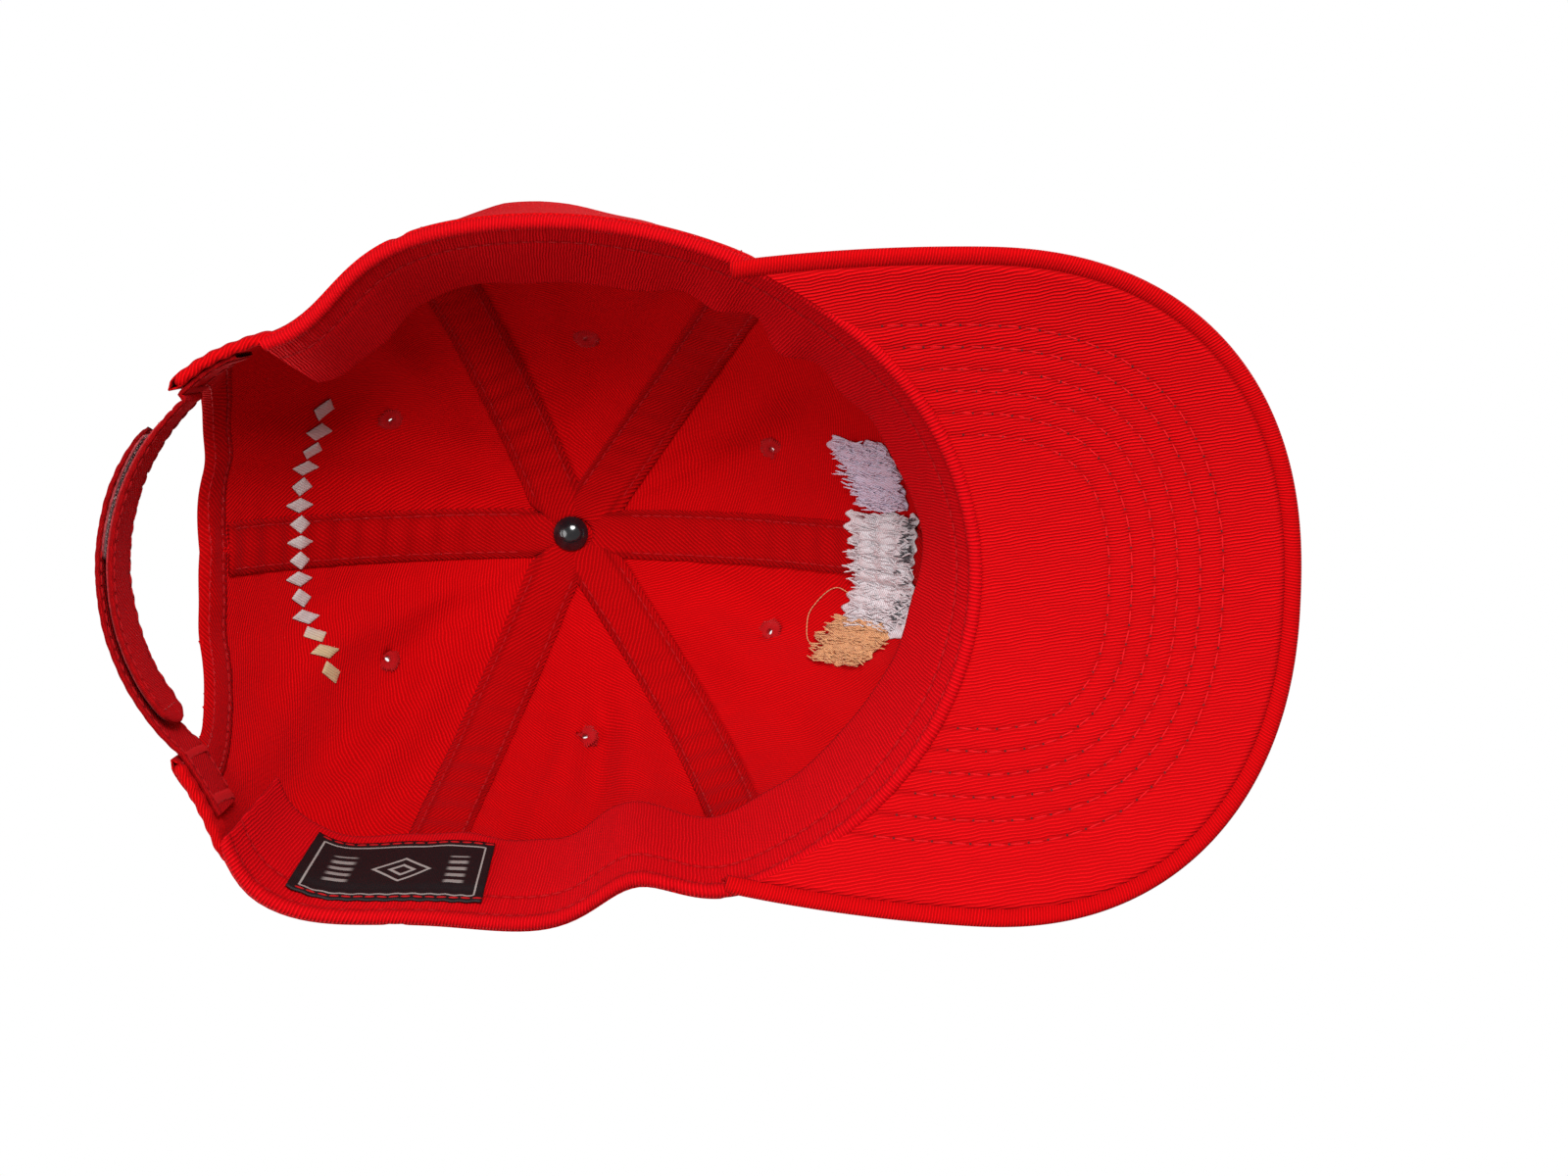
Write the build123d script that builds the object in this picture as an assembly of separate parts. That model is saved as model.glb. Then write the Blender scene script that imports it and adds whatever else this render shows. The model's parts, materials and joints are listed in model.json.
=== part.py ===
from build123d import *
from math import cos, radians, sin, sqrt
import os

os.makedirs("parts", exist_ok=True)

# A six-panel fabric cap as worn: +Z up, the visor towards -Y, the wearer's left at +X.
# The origin is the middle of the head opening, level with the rim. All sizes in millimetres.

# Crown: the rim's reach each way, the height, and how full each wall is (2 is an ellipse).
half_width = 86.0
front_reach = 107.0
rear_reach = 102.0
crown_height = 108.0
side_fullness = 2.0
front_fullness = 2.05
rear_fullness = 1.95
panel_thick = 1.0
crown_levels = 10
crown_top_angle = 88.0
front_seam_angle = 35.0  # from straight sideways, forwards
rear_seam_angle = 22.0  # from straight sideways, backwards

# Seam tapes inside the crown.
tape_thick = 0.8
tape_width = 14.0
tape_rim_gap = 3.0

# Button at the top: cloth-covered shell outside, post through the panels, cap inside.
button_radius = 7.5
button_rise = 4.5
cap_radius = 4.7
cap_rise = 3.2
cap_clear = 0.1
post_radius = 1.5
post_clear = 0.05
post_grip = 2.0  # how far the post goes into the shell and into the cap

# Sewn eyelets, one in each panel, on rays from a point on the crown's axis.
eyelet_hole = 1.5
eyelet_sleeve = 2.2
eyelet_flange = 3.8
eyelet_thick = 0.5
eyelet_sight_height = 30.0
eyelet_rise_angle = 45.0
front_eyelet_angle = -66.0
side_eyelet_angle = -6.0
rear_eyelet_angle = 56.0

# Visor: bent about a fore-and-aft line and pitched down to the front.
visor_narrower = 7.5  # each side, than the rim
visor_reach = 72.0  # ahead of the front rim
visor_widest_back = 4.0  # its widest place, behind the front rim
visor_corner_back = 62.0  # its corners, behind the front rim
visor_corner_tuck = 4.0  # its corners, in from the crown's outside
visor_roundness = 2.25
visor_bend = 150.0
visor_pitch = 12.0
board_thick = 2.2
cover_thick = 0.8
visor_roll = 1.4

# Sweatband: leans in from the rim all round, and ends beside the rear opening.
band_height = 31.0
band_thick = 1.4
band_lean = 10.0
band_gap = 15.0  # from the rear opening

# Rear opening, with its binding.
arch_half_width = 45.0
arch_straight = 16.0
arch_round = 34.0
binding_width = 7.0
binding_thick = 0.7
below_rim = 6.0

# Size straps: the loop strap inside, the hook strap over it.
strap_bow = 55.0  # radius of the loop strap's inner face
strap_thick = 1.2
strap_low = 1.5
strap_height = 20.0
strap_clear = 2.7  # from the rear opening's side
strap_in_wall = 4.485  # from the crown's outside to the middle of the two straps
patch_thick = 0.8
patch_inset = 1.5
strap_gap = 0.3
hook_end_clear = 8.3  # from the other strap's root
loop_end_clear = 5.3
hook_patch_back = -3.0
loop_patch_clear = 6.3
tab_clear = 1.5
tab_length = 13.0
tab_thick = 1.2

# Stitched bars that hold the straps, the woven label and the two embroideries.
bar_width = 1.6
bar_thick = 0.6
bar_margin = 2.5
label_length = 41.0
label_height = 22.0
label_thick = 0.5
label_angle = 24.0
label_low = 4.5
emblem_half_width = 31.0
emblem_low = 45.0
emblem_high = 80.0
motif_half_width = 38.0
motif_low = 69.0
motif_high = 80.0
emblem_thick = 0.8
backing_thick = 1.3

FAR = 400.0
panel_inside = panel_thick
tape_inside = panel_inside + tape_thick
visor_thick = board_thick + 2 * cover_thick
rim_middle = (rear_reach - front_reach) / 2
rim_half_length = (rear_reach + front_reach) / 2
visor_half_width = half_width - visor_narrower
band_end = arch_half_width + band_gap
strap_root = arch_half_width - strap_clear
hook_reach = strap_root - hook_end_clear
loop_reach = strap_root - loop_end_clear


def save(shape, name):
    export_step(shape, f"parts/{name}.step")
    return shape


def box(x0, x1, y0, y1, z0, z1):
    middle = ((x0 + x1) / 2, (y0 + y1) / 2, (z0 + z1) / 2)
    return Pos(*middle) * Box(x1 - x0, y1 - y0, z1 - z0)


def wall_share(level, fullness):
    """How much of the rim's reach a wall still has at a level, 0 at the rim and 1 at the top."""
    return (1 - max(level, 0) ** fullness) ** (1 / fullness)


def crown_section(inset, level, height):
    wide = (half_width - inset) * wall_share(level, side_fullness)
    ahead = (front_reach - inset) * wall_share(level, front_fullness)
    behind = (rear_reach - inset) * wall_share(level, rear_fullness)
    place = Pos(0, (behind - ahead) / 2, height)
    return place * Ellipse(wide, (ahead + behind) / 2)


def crown_solid(inset):
    """Everything inside the crown's outer surface moved in by the inset, open-ended below the rim."""
    height = crown_height - inset
    sections = [crown_section(inset, 0, -below_rim)]
    for step in range(crown_levels):
        level = sin(radians(crown_top_angle * step / (crown_levels - 1)))
        sections.append(crown_section(inset, level, height * level))
    return loft(sections)


def crown_layer(outer_inset, inner_inset):
    return crown_solid(outer_inset) - crown_solid(inner_inset)


above_rim = box(-FAR, FAR, -FAR, FAR, 0, FAR)


# The visor's bent surface: a cylinder along the pitched fore-and-aft line, through the rim's edge
# at the visor's corners.
corner_y = visor_corner_back - front_reach
corner_x = half_width * sqrt(1 - ((corner_y - rim_middle) / rim_half_length) ** 2)
pitch = radians(visor_pitch)
corner_drop = (visor_bend - sqrt(visor_bend**2 - corner_x**2)) / cos(pitch)
visor_axis = (
    0,
    corner_y + visor_bend * sin(pitch),
    corner_drop - visor_bend * cos(pitch),
)
visor_plane = Plane(origin=visor_axis, x_dir=(1, 0, 0), z_dir=(0, cos(pitch), sin(pitch)))


def visor_cylinder(depth):
    """Everything under the visor's top face moved down by the depth."""
    return visor_plane * Cylinder(visor_bend - depth, 2 * FAR)


def visor_layer(top_depth, bottom_depth):
    return visor_cylinder(top_depth) - visor_cylinder(bottom_depth)


def visor_plan(inset):
    """The visor seen from above: a rounded front, sides that run back to its two corners."""
    widest_y = visor_widest_back - front_reach
    across = visor_half_width - inset
    ahead = visor_widest_back + visor_reach - inset
    edge = [(corner_x - visor_corner_tuck - inset, corner_y)]
    for angle in range(0, 181, 15):
        side = 1 if angle <= 90 else -1
        share_x = abs(cos(radians(angle))) ** (2 / visor_roundness)
        share_y = sin(radians(angle)) ** (2 / visor_roundness)
        edge.append((side * across * share_x, widest_y - ahead * share_y))
    edge.append((visor_corner_tuck + inset - corner_x, corner_y))
    outline = Spline(*edge)
    whole = make_face(outline + Line(edge[-1], edge[0]))
    opening = crown_section(panel_inside, 0, 0)
    return extrude(Pos(0, 0, -visor_reach) * (whole - opening), 2 * visor_reach)


def ahead_of_corners(solid):
    return solid & box(-FAR, FAR, -FAR, corner_y, -FAR, FAR)


over_visor = above_rim - ahead_of_corners(visor_cylinder(0))
over_visor_under = above_rim - ahead_of_corners(visor_cylinder(visor_thick))


def arch(growth):
    """The rear opening as a prism through the rear wall, with its edge moved out by the growth."""
    across = arch_half_width + growth
    top = Pos(0, arch_straight) * Ellipse(across, arch_round + growth)
    leg_height = arch_straight + below_rim
    legs = Pos(0, (arch_straight - below_rim) / 2) * Rectangle(2 * across, leg_height)
    return extrude(Plane.XZ * (top + legs), -FAR)


def wedge(from_angle, to_angle):
    """The space between two upright planes through the crown's axis."""
    corners = [(0, 0)]
    for angle in (from_angle, (from_angle + to_angle) / 2, to_angle):
        corners.append((FAR * cos(radians(angle)), FAR * sin(radians(angle))))
    return extrude(Pos(0, 0, -FAR) * make_face(Polyline(*corners, close=True)), 2 * FAR)


def eyelet_place(angle):
    rise = radians(eyelet_rise_angle)
    turn = radians(angle)
    sight = (cos(rise) * cos(turn), cos(rise) * sin(turn), sin(rise))
    return Plane(origin=(0, 0, eyelet_sight_height), z_dir=sight)


def eyelet_rod(place, radius):
    return place * Pos(0, 0, FAR / 2) * Cylinder(radius, FAR)


# Crown panels: six cloth gores, each with its eyelet hole, trimmed over the visor and the arch.
panels = {
    "front_panel_left": (-90, -front_seam_angle, front_eyelet_angle),
    "side_panel_left": (-front_seam_angle, rear_seam_angle, side_eyelet_angle),
    "rear_panel_left": (rear_seam_angle, 90, rear_eyelet_angle),
    "rear_panel_right": (90, 180 - rear_seam_angle, 180 - rear_eyelet_angle),
    "side_panel_right": (180 - rear_seam_angle, 180 + front_seam_angle, 180 - side_eyelet_angle),
    "front_panel_right": (180 + front_seam_angle, 270, 180 - front_eyelet_angle),
}
post_hole = Cylinder(post_radius + post_clear, 2 * FAR)
crown_shell = (crown_layer(0, panel_inside) & over_visor) - arch(0) - post_hole
eyelet_cover = crown_layer(-eyelet_thick, panel_inside + eyelet_thick) - crown_shell
eyelets = []
for name, (start, end, eyelet_angle) in panels.items():
    place = eyelet_place(eyelet_angle)
    sleeve = eyelet_rod(place, eyelet_sleeve)
    hole = eyelet_rod(place, eyelet_hole)
    save((crown_shell & wedge(start, end)) - sleeve, name)
    flange = eyelet_cover & eyelet_rod(place, eyelet_flange)
    eyelets.append((flange + (crown_shell & sleeve)) - hole)
save(Compound(children=[ring for whole in eyelets for ring in whole.solids()]), "sewn_eyelets")

# Seam tapes: a band of cloth over each seam, from the button to the rim, mitred where they meet.
tape_layer = crown_layer(panel_inside, tape_inside) - post_hole - arch(binding_width)
tape_layer = tape_layer & box(-FAR, FAR, -FAR, FAR, tape_rim_gap, FAR)
tape_layer = tape_layer - ahead_of_corners(visor_cylinder(-tape_rim_gap))
seams = {
    "left_front_seam_tape": -front_seam_angle,
    "left_rear_seam_tape": rear_seam_angle,
    "rear_seam_tape": 90,
    "right_rear_seam_tape": 180 - rear_seam_angle,
    "right_front_seam_tape": 180 + front_seam_angle,
    "front_seam_tape": 270,
}
tapes = {}
seam_angles = list(seams.values())
for number, (name, angle) in enumerate(seams.items()):
    before = seam_angles[number - 1] - (360 if number == 0 else 0)
    after = seam_angles[number + 1] if number < 5 else seam_angles[0] + 360
    run = Rot(0, 0, angle) * box(0, FAR, -tape_width / 2, tape_width / 2, 0, FAR)
    run = run & wedge((before + angle) / 2, (angle + after) / 2)
    tapes[name] = save(tape_layer & run, name)

# Button: its shell sits on the crown, its cap under the tapes, and the post holds both.
crown_top = crown_height * sin(radians(crown_top_angle))
cap_share = wall_share(cap_radius / (half_width - tape_inside), side_fullness)
cap_seat = (crown_height - tape_inside) * cap_share - cap_clear


def dome(radius, rise):
    """A round cap on the XY plane, its edge a third of its rise thick."""
    lip = rise / 3
    crown = rise - lip
    ball = (radius**2 + crown**2) / (2 * crown)
    body = Pos(0, 0, rise / 2) * Cylinder(radius, rise)
    return body & Pos(0, 0, rise - ball) * Sphere(ball)


socket = Cylinder(post_radius + post_clear, 2 * post_grip)
save(Pos(0, 0, crown_top) * (dome(button_radius, button_rise) - socket), "button_shell")
inner_cap = Rot(180, 0, 0) * (dome(cap_radius, cap_rise) - socket)
save(Pos(0, 0, cap_seat) * inner_cap, "button_cap")
post_length = crown_top - cap_seat + 2 * post_grip
save(Pos(0, 0, (crown_top + cap_seat) / 2) * Cylinder(post_radius, post_length), "button_post")

# Visor: a stiff board between two covers; the top cover rolls round the outer edge.
inner_plan = visor_plan(visor_roll)
outer_plan = visor_plan(0)
edge_plan = outer_plan - inner_plan
cover_bottom = cover_thick + board_thick
top_cover = (visor_layer(0, cover_thick) & outer_plan) + (visor_layer(0, visor_thick) & edge_plan)
save(top_cover, "visor_top_cover")
save(visor_layer(cover_thick, cover_bottom) & inner_plan, "visor_board")
save(visor_layer(cover_bottom, visor_thick) & inner_plan, "visor_under_cover")


# Sweatband: one strip sewn to the rim, leaning in, open at the rear.
def band_solid(inset):
    """Everything inside the sweatband's outer face moved in by the inset."""
    sections = []
    for height in (-below_rim, band_height):
        lean = panel_inside + inset + band_lean * height / band_height
        sections.append(crown_section(lean, 0, height))
    return loft(sections, ruled=True)


def band_layer(outer_inset, inner_inset):
    return band_solid(outer_inset) - band_solid(inner_inset)


rear_gap = box(-band_end, band_end, 0, FAR, -FAR, FAR)
in_crown = crown_solid(panel_inside)
save((band_layer(0, band_thick) & over_visor_under & in_crown) - rear_gap, "sweatband")

# Woven label on the sweatband's inner face, behind the wearer's left ear.
label_zone = Rot(0, 0, label_angle) * box(
    0, FAR, -label_length / 2, label_length / 2, label_low, label_low + label_height
)
save(band_layer(band_thick, band_thick + label_thick) & label_zone, "woven_label")

# Arch binding: a folded tape over the edge of the rear opening, inside and outside the crown.
binding_zone = (arch(binding_width) - arch(-binding_thick)) & above_rim
binding = crown_layer(-binding_thick, panel_inside + binding_thick) & binding_zone
binding = binding - crown_shell
save(binding, "arch_binding")

# Size straps: two arcs about one upright axis behind the head, each on its own sewn root.
loop_outer = strap_bow + strap_thick
loop_face = loop_outer + patch_thick
hook_face = loop_face + strap_gap
hook_inner = hook_face + patch_thick
hook_outer = hook_inner + strap_thick
strap_middle = (strap_bow + hook_outer) / 2
rear_wall = rim_middle + rim_half_length * sqrt(1 - (strap_root / half_width) ** 2)
strap_centre_y = rear_wall - strap_in_wall - sqrt(strap_middle**2 - strap_root**2)
strap_high = strap_low + strap_height


def strap_layer(inner, outer):
    ring = Cylinder(outer, strap_high * 2) - Cylinder(inner, strap_high * 2)
    return Pos(0, strap_centre_y, 0) * ring & box(-FAR, FAR, strap_centre_y, FAR, 0, FAR)


def strap_face(start, end, inset, end_round):
    """The strap's side view as a prism: square at its root, rounded or pointed at its free end."""
    low = strap_low + inset
    high = strap_high - inset
    face = Plane.XZ * Pos((start + end) / 2, (low + high) / 2) * Rectangle(abs(end - start), high - low)
    ends = [corner for corner in face.vertices() if abs(corner.X - end) < 1e-6]
    return extrude(fillet(ends, end_round), -FAR)


hook_strap = strap_layer(hook_inner, hook_outer) & strap_face(strap_root, -hook_reach, 0, 8)
save(hook_strap, "hook_strap")
hook_patch = strap_layer(hook_face, hook_inner)
hook_patch = hook_patch & strap_face(hook_patch_back, patch_inset - hook_reach, patch_inset, 6)
save(hook_patch, "hook_patch")
loop_strap = strap_layer(strap_bow, loop_outer) & strap_face(-strap_root, loop_reach, 0, 9.5)
save(loop_strap, "loop_strap")
loop_patch = strap_layer(loop_outer, loop_face)
loop_patch = loop_patch & strap_face(loop_patch_clear - strap_root, loop_reach - patch_inset, patch_inset, 7)
save(loop_patch, "loop_patch")

# Strap roots: the sewn ends of the two straps, flat on the inside of the crown, and their bars.
tab_start = strap_root + tab_clear
tab_end = tab_start + tab_length
tab_face = panel_inside + binding_thick
root_layer = crown_layer(tab_face, tab_face + tab_thick)
bar_layer = crown_layer(tab_face + tab_thick, tab_face + tab_thick + bar_thick)
bars = []
for side, name in ((1, "hook_strap_root"), (-1, "loop_strap_root")):
    zone = box(tab_start, tab_end, 0, FAR, strap_low, strap_high)
    bar_low = strap_low + bar_margin
    bar_high = strap_high - bar_margin
    first = box(tab_start + 1, tab_start + 1 + bar_width, 0, FAR, bar_low, bar_high)
    second = box(tab_end - 1 - bar_width, tab_end - 1, 0, FAR, bar_low, bar_high)
    if side < 0:
        zone, first, second = (mirror(part, Plane.YZ) for part in (zone, first, second))
    save(root_layer & zone, name)
    bars += [*(bar_layer & first).solids(), *(bar_layer & second).solids()]
save(Compound(children=bars), "bar_tacks")

# Embroideries: raised thread outside, and the mass of thread and backing inside.
front_zone = box(-emblem_half_width, emblem_half_width, -FAR, 0, emblem_low, emblem_high)
rear_zone = box(-motif_half_width, motif_half_width, 0, FAR, motif_low, motif_high)
raised = crown_layer(-emblem_thick, 0)
backing = crown_layer(panel_inside, panel_inside + backing_thick)
save(raised & front_zone, "front_embroidery")
save(raised & rear_zone, "rear_embroidery")
save((backing & front_zone) - tapes["front_seam_tape"], "front_embroidery_backing")
save((backing & rear_zone) - tapes["rear_seam_tape"], "rear_embroidery_backing")
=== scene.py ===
import bpy
import bmesh
import json
import random
import numpy as np
from math import asin, cos, degrees, exp, pi, radians, sin, sqrt, tan
from mathutils import Matrix, Vector, noise


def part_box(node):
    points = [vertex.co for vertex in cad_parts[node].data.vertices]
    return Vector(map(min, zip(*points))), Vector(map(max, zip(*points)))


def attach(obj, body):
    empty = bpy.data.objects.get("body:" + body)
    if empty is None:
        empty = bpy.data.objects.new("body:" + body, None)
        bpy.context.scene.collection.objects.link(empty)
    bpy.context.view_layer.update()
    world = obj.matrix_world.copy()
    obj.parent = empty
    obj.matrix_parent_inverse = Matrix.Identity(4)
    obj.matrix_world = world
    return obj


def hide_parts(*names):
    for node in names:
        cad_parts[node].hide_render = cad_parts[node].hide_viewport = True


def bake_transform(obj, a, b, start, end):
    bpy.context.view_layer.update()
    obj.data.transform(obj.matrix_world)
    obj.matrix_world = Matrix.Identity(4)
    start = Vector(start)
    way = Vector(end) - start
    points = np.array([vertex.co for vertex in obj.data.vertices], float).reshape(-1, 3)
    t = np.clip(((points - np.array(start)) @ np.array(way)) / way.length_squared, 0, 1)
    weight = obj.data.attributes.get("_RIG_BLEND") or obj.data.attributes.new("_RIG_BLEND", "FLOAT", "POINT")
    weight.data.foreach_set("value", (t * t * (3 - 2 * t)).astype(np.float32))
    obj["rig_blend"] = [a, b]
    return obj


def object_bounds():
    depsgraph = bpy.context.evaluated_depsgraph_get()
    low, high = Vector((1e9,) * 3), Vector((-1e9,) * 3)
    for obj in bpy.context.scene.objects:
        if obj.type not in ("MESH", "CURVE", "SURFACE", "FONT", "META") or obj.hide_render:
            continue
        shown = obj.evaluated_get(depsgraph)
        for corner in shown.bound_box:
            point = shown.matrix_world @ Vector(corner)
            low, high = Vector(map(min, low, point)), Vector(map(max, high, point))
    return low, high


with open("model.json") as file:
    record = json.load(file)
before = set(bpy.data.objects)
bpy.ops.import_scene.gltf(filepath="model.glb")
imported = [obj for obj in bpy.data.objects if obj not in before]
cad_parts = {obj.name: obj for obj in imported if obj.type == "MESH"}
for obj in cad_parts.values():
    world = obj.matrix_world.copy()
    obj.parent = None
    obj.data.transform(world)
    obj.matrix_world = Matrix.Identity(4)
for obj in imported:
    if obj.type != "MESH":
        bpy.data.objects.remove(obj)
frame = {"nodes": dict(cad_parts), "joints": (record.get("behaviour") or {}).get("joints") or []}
cad_box = [list(corner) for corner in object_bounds()]

# The camera looks up into the cap from below, a little from the wearer's right, with the
# visor to the right.
camera = bpy.data.objects.new("camera", bpy.data.cameras.new("camera"))
bpy.context.collection.objects.link(camera)
bpy.context.scene.camera = camera
camera.data.sensor_width = 36
camera.data.lens = 63.2
camera.data.clip_start = 0.01
camera_distance = 0.65
camera_lean = radians(7)
camera_roll = radians(-0.6)
looked_at = Vector((0.0015, -0.0585, 0))
sight = Vector((sin(camera_lean), 0, cos(camera_lean)))
to_right = Matrix.Rotation(camera_roll, 3, sight) @ Vector((0, -1, 0))
camera.matrix_world = Matrix.Translation(looked_at - sight * camera_distance) @ Matrix(
    (to_right, to_right.cross(sight), -sight)
).transposed().to_4x4()


# Materials are built from two small classes: a value in a node tree with arithmetic, and a finish
# that makes the nodes.
class Value:
    """A socket of a material's nodes. Arithmetic on it adds Math nodes."""

    def __init__(self, finish, socket):
        self.finish = finish
        self.socket = socket

    def math(self, operation, *others):
        inputs = dict(enumerate((self, *others)))
        return self.finish.node("ShaderNodeMath", {"operation": operation}, inputs)

    def __add__(self, other):
        return self.math("ADD", other)

    def __mul__(self, other):
        return self.math("MULTIPLY", other)

    def __sub__(self, other):
        return self.math("SUBTRACT", other)

    def __truediv__(self, other):
        return self.math("DIVIDE", other)

    def __rsub__(self, other):
        return (self * -1) + other

    def __pow__(self, other):
        return self.math("POWER", other)

    __radd__ = __add__
    __rmul__ = __mul__

    def wave(self):
        """A smooth wave from 0 to 1, one for each whole number."""
        return (self * (2 * pi)).math("SINE") * 0.5 + 0.5

    def between(self, low, high):
        """0 below low, 1 above high, smooth between them."""
        settings = {"interpolation_type": "SMOOTHSTEP"}
        return self.finish.node("ShaderNodeMapRange", settings, {0: self, 1: low, 2: high})


class Finish:
    """A material, its shader, and one way to add any node."""

    def __init__(self, name, colour, roughness, **constants):
        self.material = bpy.data.materials.new(name)
        self.material.use_nodes = True
        self.tree = self.material.node_tree
        self.shader = self.tree.nodes["Principled BSDF"]
        self.shader.inputs["Base Color"].default_value = (*colour, 1)
        self.shader.inputs["Roughness"].default_value = roughness
        for socket, value in constants.items():
            self.shader.inputs[socket.replace("_", " ")].default_value = value

    def node(self, kind, settings=None, inputs=None, output=0):
        made = self.tree.nodes.new(kind)
        for key, value in (settings or {}).items():
            setattr(made, key, value)
        for key, value in (inputs or {}).items():
            if isinstance(value, Value):
                self.tree.links.new(value.socket, made.inputs[key])
            else:
                made.inputs[key].default_value = value
        return Value(self, made.outputs[output])

    def place(self, turn=0.0, stretch=(1, 1, 1), source="UV"):
        """The cloth's own map, or the object's coordinates, turned and then stretched."""
        if source == "UV":
            where = self.node("ShaderNodeUVMap", {"uv_map": "cloth"})
        else:
            where = self.node("ShaderNodeTexCoord", output=3)
        turned = self.node("ShaderNodeMapping", inputs={"Vector": where, "Rotation": (0, 0, turn)})
        return self.node("ShaderNodeMapping", inputs={"Vector": turned, "Scale": stretch})

    def axes(self, where):
        split = self.node("ShaderNodeSeparateXYZ", inputs={0: where})
        nodes = split.socket.node.outputs
        return [Value(self, nodes[axis]) for axis in (0, 1, 2)]

    def cloudy(self, where, scale, detail=2.0):
        return self.node("ShaderNodeTexNoise", {}, {"Vector": where, "Scale": scale, "Detail": detail})

    def attribute(self, name):
        return self.node("ShaderNodeAttribute", {"attribute_name": name}, output=2)

    def mix(self, factor, first, second):
        settings = {"data_type": "RGBA"}
        ends = [value if isinstance(value, Value) else (*value, 1) for value in (first, second)]
        return self.node("ShaderNodeMix", settings, {0: factor, 6: ends[0], 7: ends[1]}, output=2)

    def colour(self, value):
        self.tree.links.new(value.socket, self.shader.inputs["Base Color"])

    def rough(self, value):
        self.tree.links.new(value.socket, self.shader.inputs["Roughness"])

    def relief(self, height, depth, strength=1.0):
        inputs = {"Height": height, "Distance": depth, "Strength": strength}
        bump = self.node("ShaderNodeBump", {}, inputs)
        self.tree.links.new(bump.socket, self.shader.inputs["Normal"])


def twill(name, light, dark, rib=0.00080, turn=radians(52), strength=0.8, source="UV", shade_grooves=True):
    """Cotton twill: slanting ribs of short yarn floats, slightly uneven, darker between the ribs."""
    finish = Finish(name, light, 0.88, Sheen_Weight=0.05, Sheen_Roughness=0.5)
    finish.shader.inputs["Sheen Tint"].default_value = (1.0, 0.10, 0.16, 1)
    finish.shader.inputs["Specular IOR Level"].default_value = 0.06
    where = finish.place(turn, (1 / rib, 1 / rib, 1 / rib), source)
    sway = finish.cloudy(where, 0.16, 1.0)
    across, along, _ = finish.axes(where)
    across = across + (sway - 0.5) * 1.1
    ribs = across.wave()
    float_shift = across.math("FLOOR") * 0.37
    floats = (along * 0.62 + float_shift).wave() ** 0.5
    fluff = finish.cloudy(where, 1.9, 3.0)
    height = ribs * 0.62 + floats * ribs * 0.28 + fluff * 0.22
    patchy = finish.cloudy(finish.place(0, (1, 1, 1), source), 38.0, 3.0)
    shade = (height - 0.25) * 1.15 + (patchy - 0.5) * 0.25
    colour = finish.mix(shade, dark, light)
    # Painted shade: the cloth is darkened by the groove layer, along sunk stitch rows and at tucked edges
    # where shade falls.
    if shade_grooves:
        groove_shade = finish.attribute("groove").between(0.0, 1.0)
        colour = finish.mix(groove_shade * 0.55, colour, [channel * 0.45 for channel in dark])
    finish.colour(colour)
    finish.relief(height, rib * 0.42, strength)
    return finish.material


# Crown: six gores of red cotton twill, sewn edge to edge. The cloth is unlined and unstiffened, so
# it puffs between the seams and takes soft creases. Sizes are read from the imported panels.
red_light = (0.80, 0.0008, 0.0035)
red_dark = (0.42, 0.0003, 0.0010)
crown_twill = twill("crown_twill", red_light, red_dark)
half_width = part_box("side_panel_left")[1][0]
front_reach = -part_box("front_panel_left")[0][1]
rear_reach = 0.102
crown_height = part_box("side_panel_left")[1][2] / sin(radians(88))
fullness = {"side": 2.0, "front": 2.05, "rear": 1.95}
panel_thick = 0.001
front_seam = 35
rear_seam = 22


def share(level, full):
    return max(1 - max(level, 0) ** full, 0) ** (1 / full)


def ring(level, inset):
    """The crown's oval at a level: half its width, half its length and the middle's place."""
    wide = (half_width - inset) * share(level, fullness["side"])
    ahead = (front_reach - inset) * share(level, fullness["front"])
    behind = (rear_reach - inset) * share(level, fullness["rear"])
    return wide, (ahead + behind) / 2, (behind - ahead) / 2


def reach(turn, level, inset=0.0):
    """How far the wall is from the crown's axis, at a turn in degrees and a level from 0 to 1."""
    wide, long, middle = ring(level, inset)
    if wide < 1e-5:
        return 0.0
    c, s = cos(radians(turn)), sin(radians(turn))
    a = (c / wide) ** 2 + (s / long) ** 2
    b = -2 * middle * s / long**2
    return (-b + sqrt(max(b * b - 4 * a * ((middle / long) ** 2 - 1), 0))) / (2 * a)


# Where the soft crown is pushed in or out of its even oval: a turn in degrees, how wide the push is
# before and after it, and how deep it is at the rim.
pushes = [(40, 16, 12, 0.0125), (136, 12, 14, -0.0092), (-18, 9, 11, -0.0095)]


def push(turn, rise):
    """How far the soft crown stands out at a turn; it fades towards the top."""
    turn = (turn + 90) % 360 - 90
    out = 0.0
    for middle, before, after, depth in pushes:
        width = before if turn < middle else after
        out += depth * exp(-(((turn - middle) / width) ** 2))
    return out * max(1 - max(rise, 0) / 75, 0) ** 1.2


def wall(turn, rise, inset=0.0):
    """A point of the crown, at a turn and a rise in degrees, moved in by the inset."""
    level = sin(radians(rise))
    away = reach(turn, level, inset) + push(turn, rise)
    height = (crown_height - inset) * level
    return Vector((away * cos(radians(turn)), away * sin(radians(turn)), height))


def outward(point):
    """The crown's outward direction at a point of it."""
    steep = Vector((point.x / half_width**2, point.y / 0.1045**2, point.z / crown_height**2))
    return steep.normalized() if steep.length > 1e-9 else Vector((0, 0, 1))


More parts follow.
